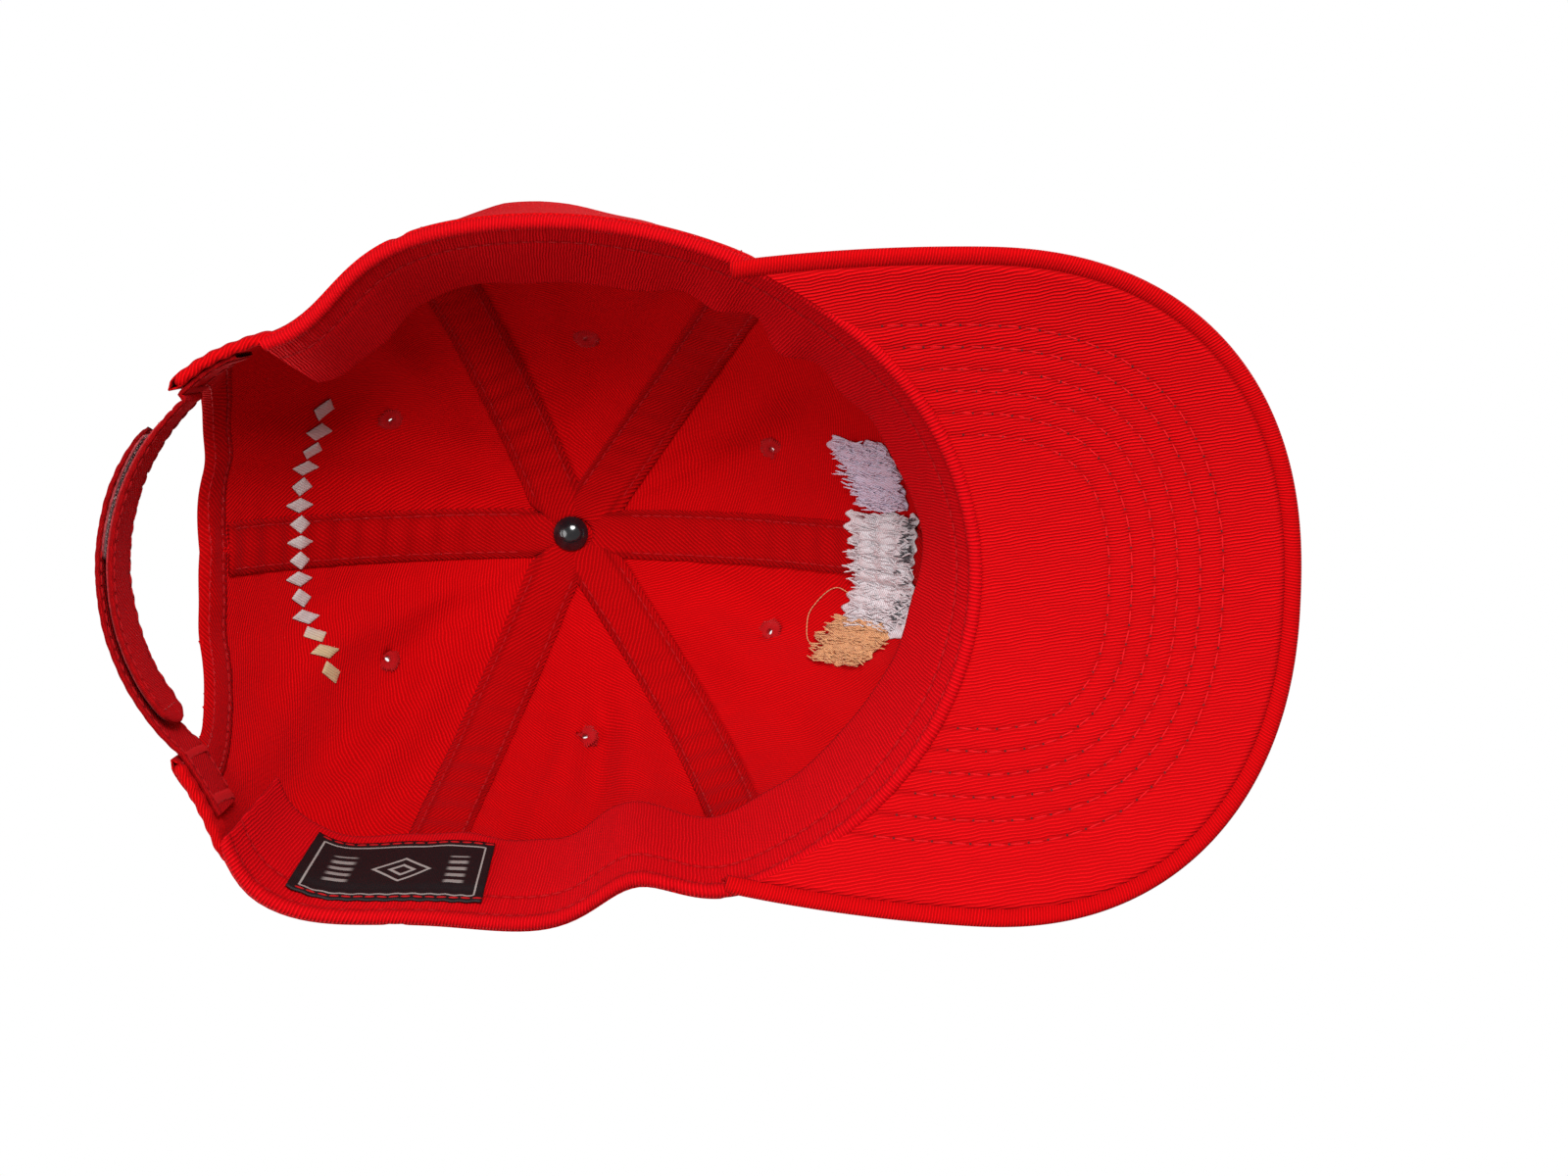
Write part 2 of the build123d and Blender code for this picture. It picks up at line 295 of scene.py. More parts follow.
# Each crease: its turn and rise in degrees, slant, half length in degrees, half width and depth.
creases = [
    (14, 24, 0.25, 16, 0.0050, -0.0016),
    (2, 38, -0.35, 18, 0.0060, -0.0014),
    (-18, 30, 0.15, 20, 0.0055, -0.0015),
    (40, 34, -0.30, 20, 0.0065, -0.0017),
    (62, 40, 0.40, 16, 0.0060, -0.0012),
    (-48, 44, -0.2, 18, 0.0070, -0.0013),
    (-70, 34, 0.3, 14, 0.0060, -0.0010),
    (112, 42, 0.35, 18, 0.0060, -0.0012),
    (140, 30, -0.3, 20, 0.0070, -0.0016),
    (172, 34, 0.2, 18, 0.0060, -0.0014),
    (200, 26, -0.25, 18, 0.0055, -0.0013),
    (228, 42, 0.3, 16, 0.0070, -0.0012),
    (26, 62, 0.5, 12, 0.0050, -0.0009),
    (152, 64, -0.5, 12, 0.0050, -0.0009),
    (-21, 52, 0.05, 24, 0.0060, -0.0022),
    (-3, 56, -0.10, 22, 0.0055, -0.0022),
    (9, 48, 0.12, 22, 0.0070, -0.0020),
    (41, 52, 0.08, 24, 0.0060, -0.0020),
    (66, 56, -0.12, 20, 0.0060, -0.0016),
    (-58, 54, 0.10, 22, 0.0065, -0.0020),
    (208, 50, 0.10, 22, 0.0070, -0.0018),
    (158, 50, -0.10, 22, 0.0070, -0.0018),
    (234, 56, -0.08, 20, 0.0060, -0.0016),
]
# Where the cloth bulges out just above the rim: a turn, how wide it is and how deep.
bulges = [(178, 34, 0.0048), (38, 26, 0.0036)]
seam_turns = [-90, -front_seam, rear_seam, 90, 180 - rear_seam, 180 + front_seam, 270]


def slack(turn, rise):
    """How far the soft cloth stands out from its even shape."""
    turn = (turn + 90) % 360 - 90
    away = reach(turn, sin(radians(rise)))
    seam = min(abs(turn - seam_turn) for seam_turn in seam_turns) * pi / 180 * away
    rim_hold = min(max((rise - 3) / 14, 0), 1)
    top_hold = min(max((84 - rise) / 16, 0), 1)
    hold = rim_hold * top_hold
    wide, long, _ = ring(sin(radians(rise)), 0)
    lumps = noise.noise(Vector((cos(radians(turn)) * 2.1, sin(radians(turn)) * 2.1, rise / 26)))
    ripples = noise.noise(Vector((cos(radians(turn)) * 7, sin(radians(turn)) * 7, rise / 9 + 4)))
    out = hold * (lumps * 0.0030 + ripples * 0.0009)
    for middle, wide, depth in bulges:
        out += hold * depth * exp(-(((turn - middle) / wide) ** 2) - ((rise - 15) / 10) ** 2)
    for at_turn, at_rise, slant, half_long, half_wide, depth in creases:
        up = (rise - at_rise) / half_long
        if abs(up) > 2.2:
            continue
        across = (turn - at_turn - slant * (rise - at_rise)) * pi / 180 * away / half_wide
        if abs(across) < 4:
            out += hold * 1.5 * depth * (exp(-across * across) - 0.45 * exp(-((abs(across) - 1.7) ** 2)))\
                * exp(-up * up)
    away_from_seam = min(seam / 0.022, 1)
    out *= 0.45 + 0.55 * away_from_seam
    out += hold * 0.0011 * (1 - (1 - away_from_seam) ** 2) * min(away / 0.05, 1)
    pucker = sin(rise * 0.0175 * 0.105 / 0.0078 * 2 * pi) * exp(-((seam / 0.009) ** 2))
    return out + hold * 0.0004 * pucker


def cloth_grid(columns, rows, place, flat):
    """A sheet of columns by rows. place() puts each point, and flat() gives its place on the
    cloth in metres; both take shares from 0 to 1."""
    sheet = bmesh.new()
    bmesh.ops.create_grid(sheet, x_segments=columns, y_segments=rows, size=0.5)
    cloth = sheet.loops.layers.uv.new("cloth")
    # The groove layer holds how much painted shade each point takes, in stitch grooves and at tucked edges.
    sheet.verts.layers.float.new("groove")
    shares = {point: (point.co.x + 0.5, point.co.y + 0.5) for point in sheet.verts}
    for face in sheet.faces:
        for loop in face.loops:
            loop[cloth].uv = flat(*shares[loop.vert])
    for point, (across, along) in shares.items():
        point.co = place(across, along)
    return sheet


def piece_of(sheet, name, material, nodes=(), body="root", thick=0.0, levels=0):
    """Makes a piece of a bmesh: its name, finish, CAD nodes, body and thickness."""
    mesh = bpy.data.meshes.new(name)
    sheet.to_mesh(mesh)
    sheet.free()
    mesh.materials.append(material)
    mesh.shade_smooth()
    piece = bpy.data.objects.new(name, mesh)
    bpy.context.collection.objects.link(piece)
    if thick:
        wall_thickness = piece.modifiers.new("thickness", "SOLIDIFY")
        wall_thickness.thickness = thick
        wall_thickness.offset = 0
    if levels:
        rounder = piece.modifiers.new("rounder", "SUBSURF")
        rounder.levels = rounder.render_levels = levels
    if body:
        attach(piece, body)
    if nodes:
        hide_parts(*nodes)
    return piece


def flat_area(sheet):
    return sum(face.calc_area() for face in sheet.faces)


# The visor's bent top face, which the front panels end on.
visor_bend = 0.150
visor_pitch = radians(12)
corner_y = -0.045
corner_x = half_width * sqrt(1 - ((corner_y + 0.0025) / 0.1045) ** 2)
corner_drop = (visor_bend - sqrt(visor_bend**2 - corner_x**2)) / cos(visor_pitch)
visor_thick = 0.0038


def visor_height(x, y, depth=0.0):
    bow = visor_bend - sqrt(max((visor_bend - depth) ** 2 - x * x, 1e-9))
    return corner_drop + (y - corner_y) * tan(visor_pitch) - bow / cos(visor_pitch)


def rim_height(turn, depth=0.0, inset=0.0):
    """The height of the crown's lower edge: the rim, or the visor's face where the visor is."""
    foot = wall(turn, 0, inset)
    if foot.y > corner_y:
        return 0.0
    return max(visor_height(foot.x, foot.y, depth), 0.0)


# The rear opening's outline: straight sides and an oval top.
arch_half_width = 0.045
arch_straight = 0.016
arch_round = 0.034


def arch_growth(x, z):
    """Roughly how far a point of the rear wall is outside the opening's edge."""
    if z <= arch_straight:
        return abs(x) - arch_half_width
    low, high = -0.02, 0.05
    for _ in range(18):
        growth = (low + high) / 2
        inside = (x / (arch_half_width + growth)) ** 2 + (
            (z - arch_straight) / (arch_round + growth)
        ) ** 2
        low, high = (growth, high) if inside > 1 else (low, growth)
    return growth


# Where each panel's eyelet is: on a ray from a point of the crown's axis.
eyelet_sight = 0.030


def eyelet_rise(turn):
    low, high = 20.0, 85.0
    for _ in range(30):
        rise = (low + high) / 2
        level = sin(radians(rise))
        above = crown_height * level - eyelet_sight - reach(turn, level)
        low, high = (rise, high) if above < 0 else (low, rise)
    return rise


eyelet_turns = {
    "front_panel_left": -66,
    "side_panel_left": -6,
    "rear_panel_left": 56,
    "rear_panel_right": 124,
    "side_panel_right": 186,
    "front_panel_right": 246,
}
panel_turns = {
    "front_panel_left": (-90, -front_seam),
    "side_panel_left": (-front_seam, rear_seam),
    "rear_panel_left": (rear_seam, 90),
    "rear_panel_right": (90, 180 - rear_seam),
    "side_panel_right": (180 - rear_seam, 180 + front_seam),
    "front_panel_right": (180 + front_seam, 270),
}
top_rise = 88.2


def soft_wall(turn, rise, inset=0.0, seam_dip=0.0):
    """A point of the soft crown, moved in by the inset along the cloth's own direction."""
    even = wall(turn, rise)
    return even + outward(even) * (slack(turn, rise) - inset - seam_dip)


def run_up(turn):
    """Lengths up the wall from the rim at each degree of rise."""
    points = [wall(turn, rise) for rise in range(0, 90)]
    lengths = [0.0]
    for low, high in zip(points, points[1:]):
        lengths.append(lengths[-1] + (high - low).length)
    return lengths


for name, (start, end) in panel_turns.items():
    middle = (start + end) / 2
    lengths = run_up(middle)
    eyelet_at = soft_wall(eyelet_turns[name], eyelet_rise(eyelet_turns[name]), panel_thick / 2)

    def turn_at(across, start=start, end=end):
        eased = across - sin(2 * pi * across) / (2 * pi) * 0.75
        return start + (end - start) * eased

    def rise_at(across, along):
        turn = turn_at(across)
        foot = degrees(asin(min(rim_height(turn) / crown_height, 1)))
        return foot + (top_rise - foot) * along

    def place(across, along):
        turn, rise = turn_at(across), rise_at(across, along)
        to_seam = min(turn - start, end - turn) * pi / 180 * reach(turn, sin(radians(rise)))
        tuck = 0.00065 * exp(-((to_seam / 0.0016) ** 2)) + 0.0004 * exp(-((along / 0.012) ** 2))
        return soft_wall(turn, rise, panel_thick / 2, tuck)

    def flat(across, along):
        turn, rise = turn_at(across), rise_at(across, along)
        away = reach(turn, sin(radians(rise)))
        return ((turn - middle) * pi / 180 * away, float(np.interp(rise, range(90), lengths)))

    panel = cloth_grid(64, 104, place, flat)
    if "rear" in name:
        cut = [face for face in panel.faces
               if arch_growth(*face.calc_center_median().xz) < 0.0008 and face.calc_center_median().y > 0]
        bmesh.ops.delete(panel, geom=cut, context="FACES")
    hole = [face for face in panel.faces if (face.calc_center_median() - eyelet_at).length < 0.0021]
    bmesh.ops.delete(panel, geom=hole, context="FACES")
    area = flat_area(panel)
    width = max(reach(start, 0.1), reach(middle, 0.1)) * radians(end - start)
    panel = piece_of(panel, name + "_cloth", crown_twill, [name], thick=panel_thick)

# Threads: every stitch is a short plump thread, half sunk in the cloth.
plain_thread = bmesh.new()
bmesh.ops.create_uvsphere(plain_thread, u_segments=6, v_segments=5, radius=1)
thread_shape = bpy.data.meshes.new("thread_shape")
plain_thread.to_mesh(thread_shape)
plain_thread.free()


def stitch(threads, start, end, up, thick):
    """Adds one thread from start to end, lying on cloth that faces up."""
    along = end - start
    if along.length < 1e-5:
        return
    side = up.cross(along).normalized()
    lift = along.cross(side).normalized()
    shape = Matrix((side * thick / 2, lift * thick / 2, along / 2)).transposed().to_4x4()
    shape.translation = (start + end) / 2
    thread_shape.transform(shape)
    threads.from_mesh(thread_shape)
    thread_shape.transform(shape.inverted())


def stitch_row(threads, route, ups, pitch=0.0032, share_sewn=0.86, thick=0.00052, wander=0.00008):
    """Adds a row of stitches along a route of points, each with the way that its cloth faces."""
    route = np.array([tuple(point) for point in route])
    ups = np.array([tuple(up) for up in ups])
    steps = np.concatenate([[0], np.cumsum(np.linalg.norm(np.diff(route, axis=0), axis=1))])

    def at(distance, values):
        return Vector([float(np.interp(distance, steps, values[:, axis])) for axis in range(3)])

    for number in range(int(steps[-1] / pitch)):
        begin = number * pitch + random.uniform(-wander, wander)
        start, end = at(begin, route), at(begin + pitch * share_sewn, route)
        up = at(begin + pitch / 2, ups).normalized()
        side = up.cross(end - start).normalized() * random.uniform(-wander, wander)
        stitch(threads, start + side, end - side, up, thick)


def sewing(name, colour, roughness=0.7):
    """Sewing thread: two plies twisted round each other, a little glossier than the cloth."""
    finish = Finish(name, colour, roughness, Sheen_Weight=0.1, Sheen_Roughness=0.4)
    where = finish.node("ShaderNodeTexCoord", output=3)
    fine = finish.cloudy(where, 2600.0, 2.0)
    finish.shader.inputs["Specular IOR Level"].default_value = 0.12
    finish.colour(finish.mix(fine, [channel * 0.62 for channel in colour], colour))
    finish.relief(fine, 0.00012, 0.6)
    return finish.material


random.seed(4)
red_thread = sewing("red_thread", (0.50, 0.0025, 0.006))


# Seam tapes: red twill tape over every seam inside the crown, sewn down along both edges. The same
# two rows of thread show outside, each side of the seam.
tape_twill = twill("tape_twill", (0.62, 0.0006, 0.0025), (0.33, 0.0002, 0.0008), rib=0.0009,
                   turn=radians(-38))
tape_width = 0.014
tape_thick = 0.0008
tape_row = 0.0054
arch_top = degrees(asin((arch_straight + arch_round + 0.0074) / crown_height))
tape_turns = {
    "left_front_seam_tape": -front_seam,
    "left_rear_seam_tape": rear_seam,
    "rear_seam_tape": 90,
    "right_rear_seam_tape": 180 - rear_seam,
    "right_front_seam_tape": 180 + front_seam,
    "front_seam_tape": 270,
}
seam_threads = bmesh.new()


def beside(turn, rise, aside, inset):
    """A point of the crown beside a seam, kept within the room that the tape has there."""
    away = reach(turn, sin(radians(rise)))
    room = away * tan(radians(28))
    aside = max(-room, min(room, aside))
    return soft_wall(turn + degrees(asin(aside / max(away, 1e-4))), rise, inset)


for name, turn in tape_turns.items():
    lengths = run_up(turn)
    low = arch_top if turn == 90 else degrees(asin((rim_height(turn) + 0.003) / crown_height))
    high = 87.0

    def place(across, along):
        rise = low + (high - low) * along
        rounded = cos((across - 0.5) * pi) ** 0.6 * 0.0003 if 0 < across < 1 else 0
        wavy = 0.00012 * noise.noise(Vector((along * 60, across * 2, turn)))
        edge = (across - 0.5) * (tape_width + 0.0005 * noise.noise(Vector((along * 25, turn, 0))))
        return beside(turn, rise, edge, panel_thick + tape_thick / 2 + rounded + wavy)

    def flat(across, along):
        return ((across - 0.5) * tape_width,
                float(np.interp(low + (high - low) * along, range(90), lengths)))

    tape = cloth_grid(12, 120, place, flat)
    # Painted shade along the tape's two sunk stitch lines, held in the groove layer.
    groove = tape.verts.layers.float["groove"]
    for point in tape.verts:
        side = point.co.x * sin(radians(turn)) - point.co.y * cos(radians(turn))
        point[groove] = max(0, 1 - abs(abs(side) - tape_row) / 0.0012)
    area = flat_area(tape)
    tape = piece_of(tape, name + "_cloth", tape_twill, [name], thick=tape_thick)
    for side in (-tape_row, tape_row):
        for inset in (panel_thick + tape_thick + 0.00012, -0.00005):
            route = [beside(turn, rise * 0.5, side, inset) for rise in range(int(low * 2) + 2, 164)]
            face = -1 if inset > 0 else 1
            stitch_row(seam_threads, route, [outward(point) * face for point in route], 0.0030)
piece_of(seam_threads, "seam_stitching", red_thread)


# Eyelets: a ring of close red thread round each hole, wrapped from outside to inside.
eyelet_threads = bmesh.new()
eyelet_hole = 0.00105
eyelet_flange = 0.0037
for turn in eyelet_turns.values():
    middle = soft_wall(turn, eyelet_rise(turn), panel_thick / 2)
    up = outward(middle)
    side = up.orthogonal().normalized()
    for number in range(30):
        spoke = Matrix.Rotation(2 * pi * number / 30, 3, up) @ side
        for face in (1, -1):
            top = up * face * (panel_thick / 2 + 0.00035)
            flange = eyelet_flange + random.uniform(-0.0003, 0.0003)
            stitch(eyelet_threads, middle + spoke * eyelet_hole + top,
                   middle + spoke * flange + top * 0.7,
                   up * face, 0.0007)
        stitch(eyelet_threads, middle + spoke * eyelet_hole - up * 0.0011,
               middle + spoke * eyelet_hole + up * 0.0011, spoke, 0.0007)
piece_of(eyelet_threads, "eyelet_threads", red_thread, ["sewn_eyelets"])


# Visor: a stiff board between two twill covers, with six rows of stitching through all three. The
# top cover rolls round the outer edge and is tucked under, against the under cover.
visor_widest_y = 0.004 - front_reach
visor_half_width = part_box("visor_top_cover")[1][0]
visor_ahead = 0.076
corner_tuck = 0.004
edge_points = []
for step in range(41):
    back = 1 - step / 40
    edge_points.append((visor_half_width - (visor_half_width - corner_x + corner_tuck) * back**2,
                        visor_widest_y + (corner_y - visor_widest_y) * back))
for step in range(1, 180):
    side = 1 if step <= 90 else -1
    across = abs(cos(radians(step))) ** (2 / 2.25)
    ahead = sin(radians(step)) ** (2 / 2.25)
    edge_points.append((side * visor_half_width * across, visor_widest_y - visor_ahead * ahead))
edge_points += [(-x, y) for x, y in reversed(edge_points[:41])]


def even_line(points, count):
    """The same line with evenly spaced points."""
    points = np.array(points)
    steps = np.concatenate([[0], np.cumsum(np.linalg.norm(np.diff(points, axis=0), axis=1))])
    wanted = np.linspace(0, steps[-1], count)
    return np.stack([np.interp(wanted, steps, points[:, axis]) for axis in range(points.shape[1])], 1)


visor_columns = 220
seam_allowance = 0.0018
visor_edge = even_line(edge_points, visor_columns + 1)
edge_run = np.gradient(visor_edge, axis=0)
edge_run /= np.linalg.norm(edge_run, axis=1)[:, None]
edge_in = np.stack([edge_run[:, 1], -edge_run[:, 0]], 1)
if edge_in[visor_columns // 2][1] < 0:
    edge_in = -edge_in
corner_turn = degrees(np.arctan2(corner_y, corner_x))
seat_points = []
for step in range(201):
    turn = corner_turn - (180 + 2 * corner_turn) * step / 200
    foot = wall(turn, 0, panel_thick + seam_allowance)
    seat_points.append((foot.x, foot.y))
visor_seat = even_line(seat_points, visor_columns + 1)


def edge_distance(x, y):
    """How far a place on the visor is from its outer edge."""
    return float(np.min(np.hypot(visor_edge[:, 0] - x, visor_edge[:, 1] - y)))


visor_rows = [0.0174 + 0.0052 * number for number in range(6)]
roll = visor_thick / 2


def visor_top_place(across, along):
    column = min(int(round(across * visor_columns)), visor_columns)
    edge, inner, seat = visor_edge[column], edge_in[column], visor_seat[column]
    if along < 0.74:
        seam = edge + inner * roll
        spot = seat + (seam - seat) * (along / 0.74)
        near = min(abs(edge_distance(*spot) - row) for row in visor_rows)
        depth = -0.0002 + 0.0003 * exp(-((near / 0.0009) ** 2))
        return Vector((*spot, visor_height(*spot, depth)))
    turn = (along - 0.74) / 0.20 * pi
    if turn <= pi:
        spot = edge + inner * (roll - (roll + 0.0002) * sin(turn))
        return Vector((*spot, visor_height(*spot, roll - (roll + 0.0002) * cos(turn))))
    tuck = (along - 0.94) / 0.06
    spot = edge + inner * (roll + 0.0016 * tuck)
    return Vector((*spot, visor_height(*spot, visor_thick + 0.0002 - 0.0009 * tuck**3)))


def visor_under_place(across, along):
    column = min(int(round(across * visor_columns)), visor_columns)
    edge, inner, seat = visor_edge[column], edge_in[column], visor_seat[column]
    seam = edge + inner * (roll + 0.0012)
    spot = seat + (seam - seat) * along
    distance = edge_distance(*spot)
    near = min(abs(distance - row) for row in visor_rows)
    curl = max(0, 1 - (distance - roll - 0.0012) / 0.0022)
    depth = visor_thick + 0.0003 - 0.0003 * exp(-((near / 0.0009) ** 2)) - 0.0014 * curl**2
    return Vector((*spot, visor_height(*spot, depth)))


def visor_flat(place):
    """The cloth runs fore and aft on the visor, and across the edge where it is rolled."""
    def flat(across, along):
        if place is visor_top_place and along > 0.75:
            return (across * 0.42, along * 0.03)
        spot = place(across, along)
        return (spot.x * 1.05, spot.y)
    return flat


under_twill = twill("visor_under_twill", (0.84, 0.0030, 0.0065), (0.46, 0.0009, 0.0020),
                    turn=radians(12), strength=1.0)
top_twill = twill("visor_top_twill", red_light, red_dark, turn=radians(12))
top_cover = cloth_grid(visor_columns, 110, visor_top_place, visor_flat(visor_top_place))
under_cover = cloth_grid(visor_columns, 96, visor_under_place, visor_flat(visor_under_place))
# Painted shade along the six sunk stitch rows, and on the under cover where the top cover's rolled edge lies
# over it.
for cover in (top_cover, under_cover):
    groove = cover.verts.layers.float["groove"]
    for point in cover.verts:
        distance = edge_distance(point.co.x, point.co.y)
        near = min(abs(distance - row) for row in visor_rows)
        point[groove] = 0.55 * exp(-((near / 0.0008) ** 2))
        if cover is under_cover:
            point[groove] = max(point[groove], 1.3 - max(distance - roll - 0.0012, 0) / 0.0013)
for cover, name, twill_finish, node in (
    (top_cover, "visor_top_cloth", top_twill, "visor_top_cover"),
    (under_cover, "visor_under_cloth", under_twill, "visor_under_cover"),
):
    area = flat_area(cover)
    cover = piece_of(cover, name, twill_finish, [node], thick=0.0006)

visor_pitch_length = 0.0046
visor_threads = bmesh.new()
hole_shadow_pieces = bmesh.new()
for row in visor_rows:
    line = even_line(visor_edge + edge_in * row, 400)
    shown = []
    for x, y in line:
        away = Vector((x, y, 0)).length
        turn = degrees(np.arctan2(y, x))
        if away > reach(turn, 0, panel_thick) + 0.0035 and edge_distance(x, y) > row - 0.0006:
            shown.append((x, y))
    for depth, face in ((visor_thick + 0.00022, -1), (-0.00022, 1)):
        route = [Vector((x, y, visor_height(x, y, depth))) for x, y in shown]
        stitch_row(visor_threads, route, [Vector((0, 0, face))] * len(route), visor_pitch_length, 0.86,
                   0.00046, 0.00018)
        steps = np.array([tuple(point) for point in route])
        # Each needle hole gets a small dark piece: painted shade where the cloth dips into the hole.
        holes = even_line(
            steps, int(np.linalg.norm(np.diff(steps, axis=0), axis=1).sum() / visor_pitch_length) + 1)
        for hole in holes:
            hole = Vector(hole) + Vector((0, 0, -face * 0.00018))
            stitch(hole_shadow_pieces, hole - Vector((0, 0.0004, 0)), hole + Vector((0, 0.0004, 0)),
                   Vector((0, 0, face)), 0.0009)
visor_thread = sewing("visor_thread", (0.78, 0.006, 0.011))
piece_of(visor_threads, "visor_stitching", visor_thread)
# The needle holes' finish is painted shade: near-black red with random tone.
hole_shadow_finish = Finish("needle_hole", (0.10, 0.001, 0.002), 0.95)
hole_shade = hole_shadow_finish.cloudy(hole_shadow_finish.node("ShaderNodeTexCoord", output=3), 1500.0)
hole_shadow_finish.colour(hole_shadow_finish.mix(hole_shade, (0.05, 0.001, 0.001), (0.16, 0.002, 0.003)))
piece_of(hole_shadow_pieces, "visor_needle_hole_shadows", hole_shadow_finish.material)


# Sweatband: a folded strip of the same twill, sewn round the rim with a rolled lower edge. It leans
# in from the crown and its free upper edge waves a little.
band_twill = twill("band_twill", (0.84, 0.0020, 0.0075), (0.45, 0.0006, 0.0022), rib=0.00085,
                   turn=radians(5), strength=0.9)
band_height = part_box("sweatband")[1][2]
band_start = 49.5
band_sweep = 279.0
# The strip's section: how far in from the crown's cloth, and how far up from the rim.
band_section = [
    (0.0005, 0.0030), (0.0000, 0.0012), (0.0002, -0.0004), (0.0010, -0.0013), (0.0021, -0.0011),
    (0.0027, -0.0001), (0.0026, 0.0010), (0.0024, 0.0018), (0.0029, 0.0027), (0.0038, 0.0050),
    (0.0046, 0.0074), (0.0049, 0.0084), (0.0058, 0.0100), (0.0074, 0.0150), (0.0090, 0.0200),
    (0.0106, 0.0250), (0.0121, 0.0298), (0.0122, 0.0309), (0.0115, 0.0315), (0.0107, 0.0308),
    (0.0096, 0.0270), (0.0085, 0.0235),
]
band_places = np.array(band_section)
band_steps = np.concatenate([[0], np.cumsum(np.linalg.norm(np.diff(band_places, axis=0), axis=1))])


def soft_top(value, width):
    """Zero below zero and the value above it, smooth between."""
    return width * np.logaddexp(0, value / width)


def band_foot(turn):
    foot = wall(turn, 0, panel_thick)
    under = visor_height(foot.x, foot.y, visor_thick) if foot.y < corner_y + 0.012 else -0.02
    return foot, float(soft_top(under, 0.0008))


def band_point(turn, distance, lift=0.0):
    """A point of the sweatband, at a turn and at a distance round its section."""
    foot, low = band_foot(turn)
    inward = float(np.interp(distance, band_steps, band_places[:, 0]))
    up = float(np.interp(distance, band_steps, band_places[:, 1]))
    rise = max(0, min(1, (up - 0.004) / 0.027))
    c, s = cos(radians(turn)), sin(radians(turn))
    broad = noise.noise(Vector((c * 1.7, s * 1.7, 3)))
    wave = noise.noise(Vector((c * 5.5, s * 5.5, 8)))
    crumple = exp(-(((turn + 138) / 16) ** 2)) * sin(radians(turn) * 26)
    side_lean = 0.0028 * c * c
    lean = rise * (side_lean + 0.0034 * broad + 0.0016 * wave) + rise**2 * 0.0022 * crumple
    pucker = 0.00012 * sin(radians(turn) * 0.095 / 0.0042 * 2 * pi) * exp(-(((up - 0.005) / 0.005) ** 2))
    way_in = -outward(foot)
    top_dip = rise * (0.0020 * broad + 0.0012 * wave - 0.0012 * abs(crumple))
    squeeze = 1 - low / band_height * 0.8
    height = low + up * (squeeze if up > 0 else 1) + top_dip
    return foot + way_in * (inward + lean + pucker + lift) + Vector((0, 0, height))


def band_place(across, along):
    return band_point(band_start - band_sweep * across, along * band_steps[-1])


def band_flat(across, along):
    return (radians(band_sweep) * 0.096 * across, along * band_steps[-1])


band = cloth_grid(460, 46, band_place, band_flat)
# Painted shade along the sweatband's two sunk stitch rows.
groove = band.verts.layers.float["groove"]
band_rows = (float(band_steps[7]), float(band_steps[11]))
for face in band.faces:
    for loop in face.loops:
        height = loop[band.loops.layers.uv["cloth"]].uv.y
        loop.vert[groove] = max(exp(-(((height - row) / 0.0006) ** 2)) for row in band_rows) * 0.9
area = flat_area(band)
band = piece_of(band, "sweatband_cloth", band_twill, ["sweatband"], thick=0.0009)
band_threads = bmesh.new()
for row in band_rows:
    route = [band_point(band_start - band_sweep * step / 600, row, 0.00048) for step in range(601)]
    ups = [-outward(point) for point in route]
    stitch_row(band_threads, route, ups, 0.0031, 0.82, 0.00048)
piece_of(band_threads, "sweatband_stitching", red_thread)


# Arch binding: a red tape folded over the edge of the rear opening, sewn with two rows of thread.
def arch_outline(growth, count=90):
    """Points up one side of the rear opening, over its top and down the other, moved out."""
    across, high = arch_half_width + growth, arch_round + growth
    leg = [(across, arch_straight * step / 14) for step in range(14)]
    over = [(across * cos(pi * step / count), arch_straight + high * sin(pi * step / count))
            for step in range(count + 1)]
    return leg + over + [(-x, z) for x, z in reversed(leg)]


def on_wall(x, z, inset, side=1):
    """A place on the rear wall (side 1) or the front wall (side -1), by its distance sideways and
    its height."""
    level = max(min(z / crown_height, 0.99), 0)
    wide, long, middle = ring(level, 0)
    y = middle + side * long * sqrt(max(1 - (x / wide) ** 2, 0))
    even = Vector((x, y, z))
    turn, rise = degrees(np.arctan2(y, x)), degrees(asin(level))
    stand = slack(turn, rise) + push(turn, rise)
    return even + outward(even) * (stand - inset)


binding_width = 0.0070
binding_lines = [even_line(arch_outline(growth), 181)
                 for growth in np.linspace(-0.0006, binding_width, 12)]
binding_order = list(range(11, -1, -1)) + list(range(0, 12))
# Its flat width is two sides of 7.6 mm and the 2.8 mm edge between them; its length is that of the
# opening's outline at half the binding's width.
binding_girth = 0.0180
binding_length = 0.168


def binding_place(across, along):
    """Across runs from the outer edge outside, round the fold, to the outer edge inside."""
    step = min(int(round(across * 23)), 23)
    x, z = binding_lines[binding_order[step]][min(int(round(along * 180)), 180)]
    growth = binding_order[step] / 11
    puff = (0.00042 * sin(min(growth * 1.15, 1) * pi) ** 0.7
            + 0.00018 * noise.noise(Vector((x * 260, z * 260, 2))))
    face = (panel_thick / 2 + 0.00035 + puff) * (1 - 0.9 * exp(-((growth * 7.6) ** 2)))
    return on_wall(x, z, panel_thick / 2 + (-face if step < 12 else face))


binding = cloth_grid(23, 180, binding_place,
                     lambda across, along: (across * binding_girth, along * binding_length))
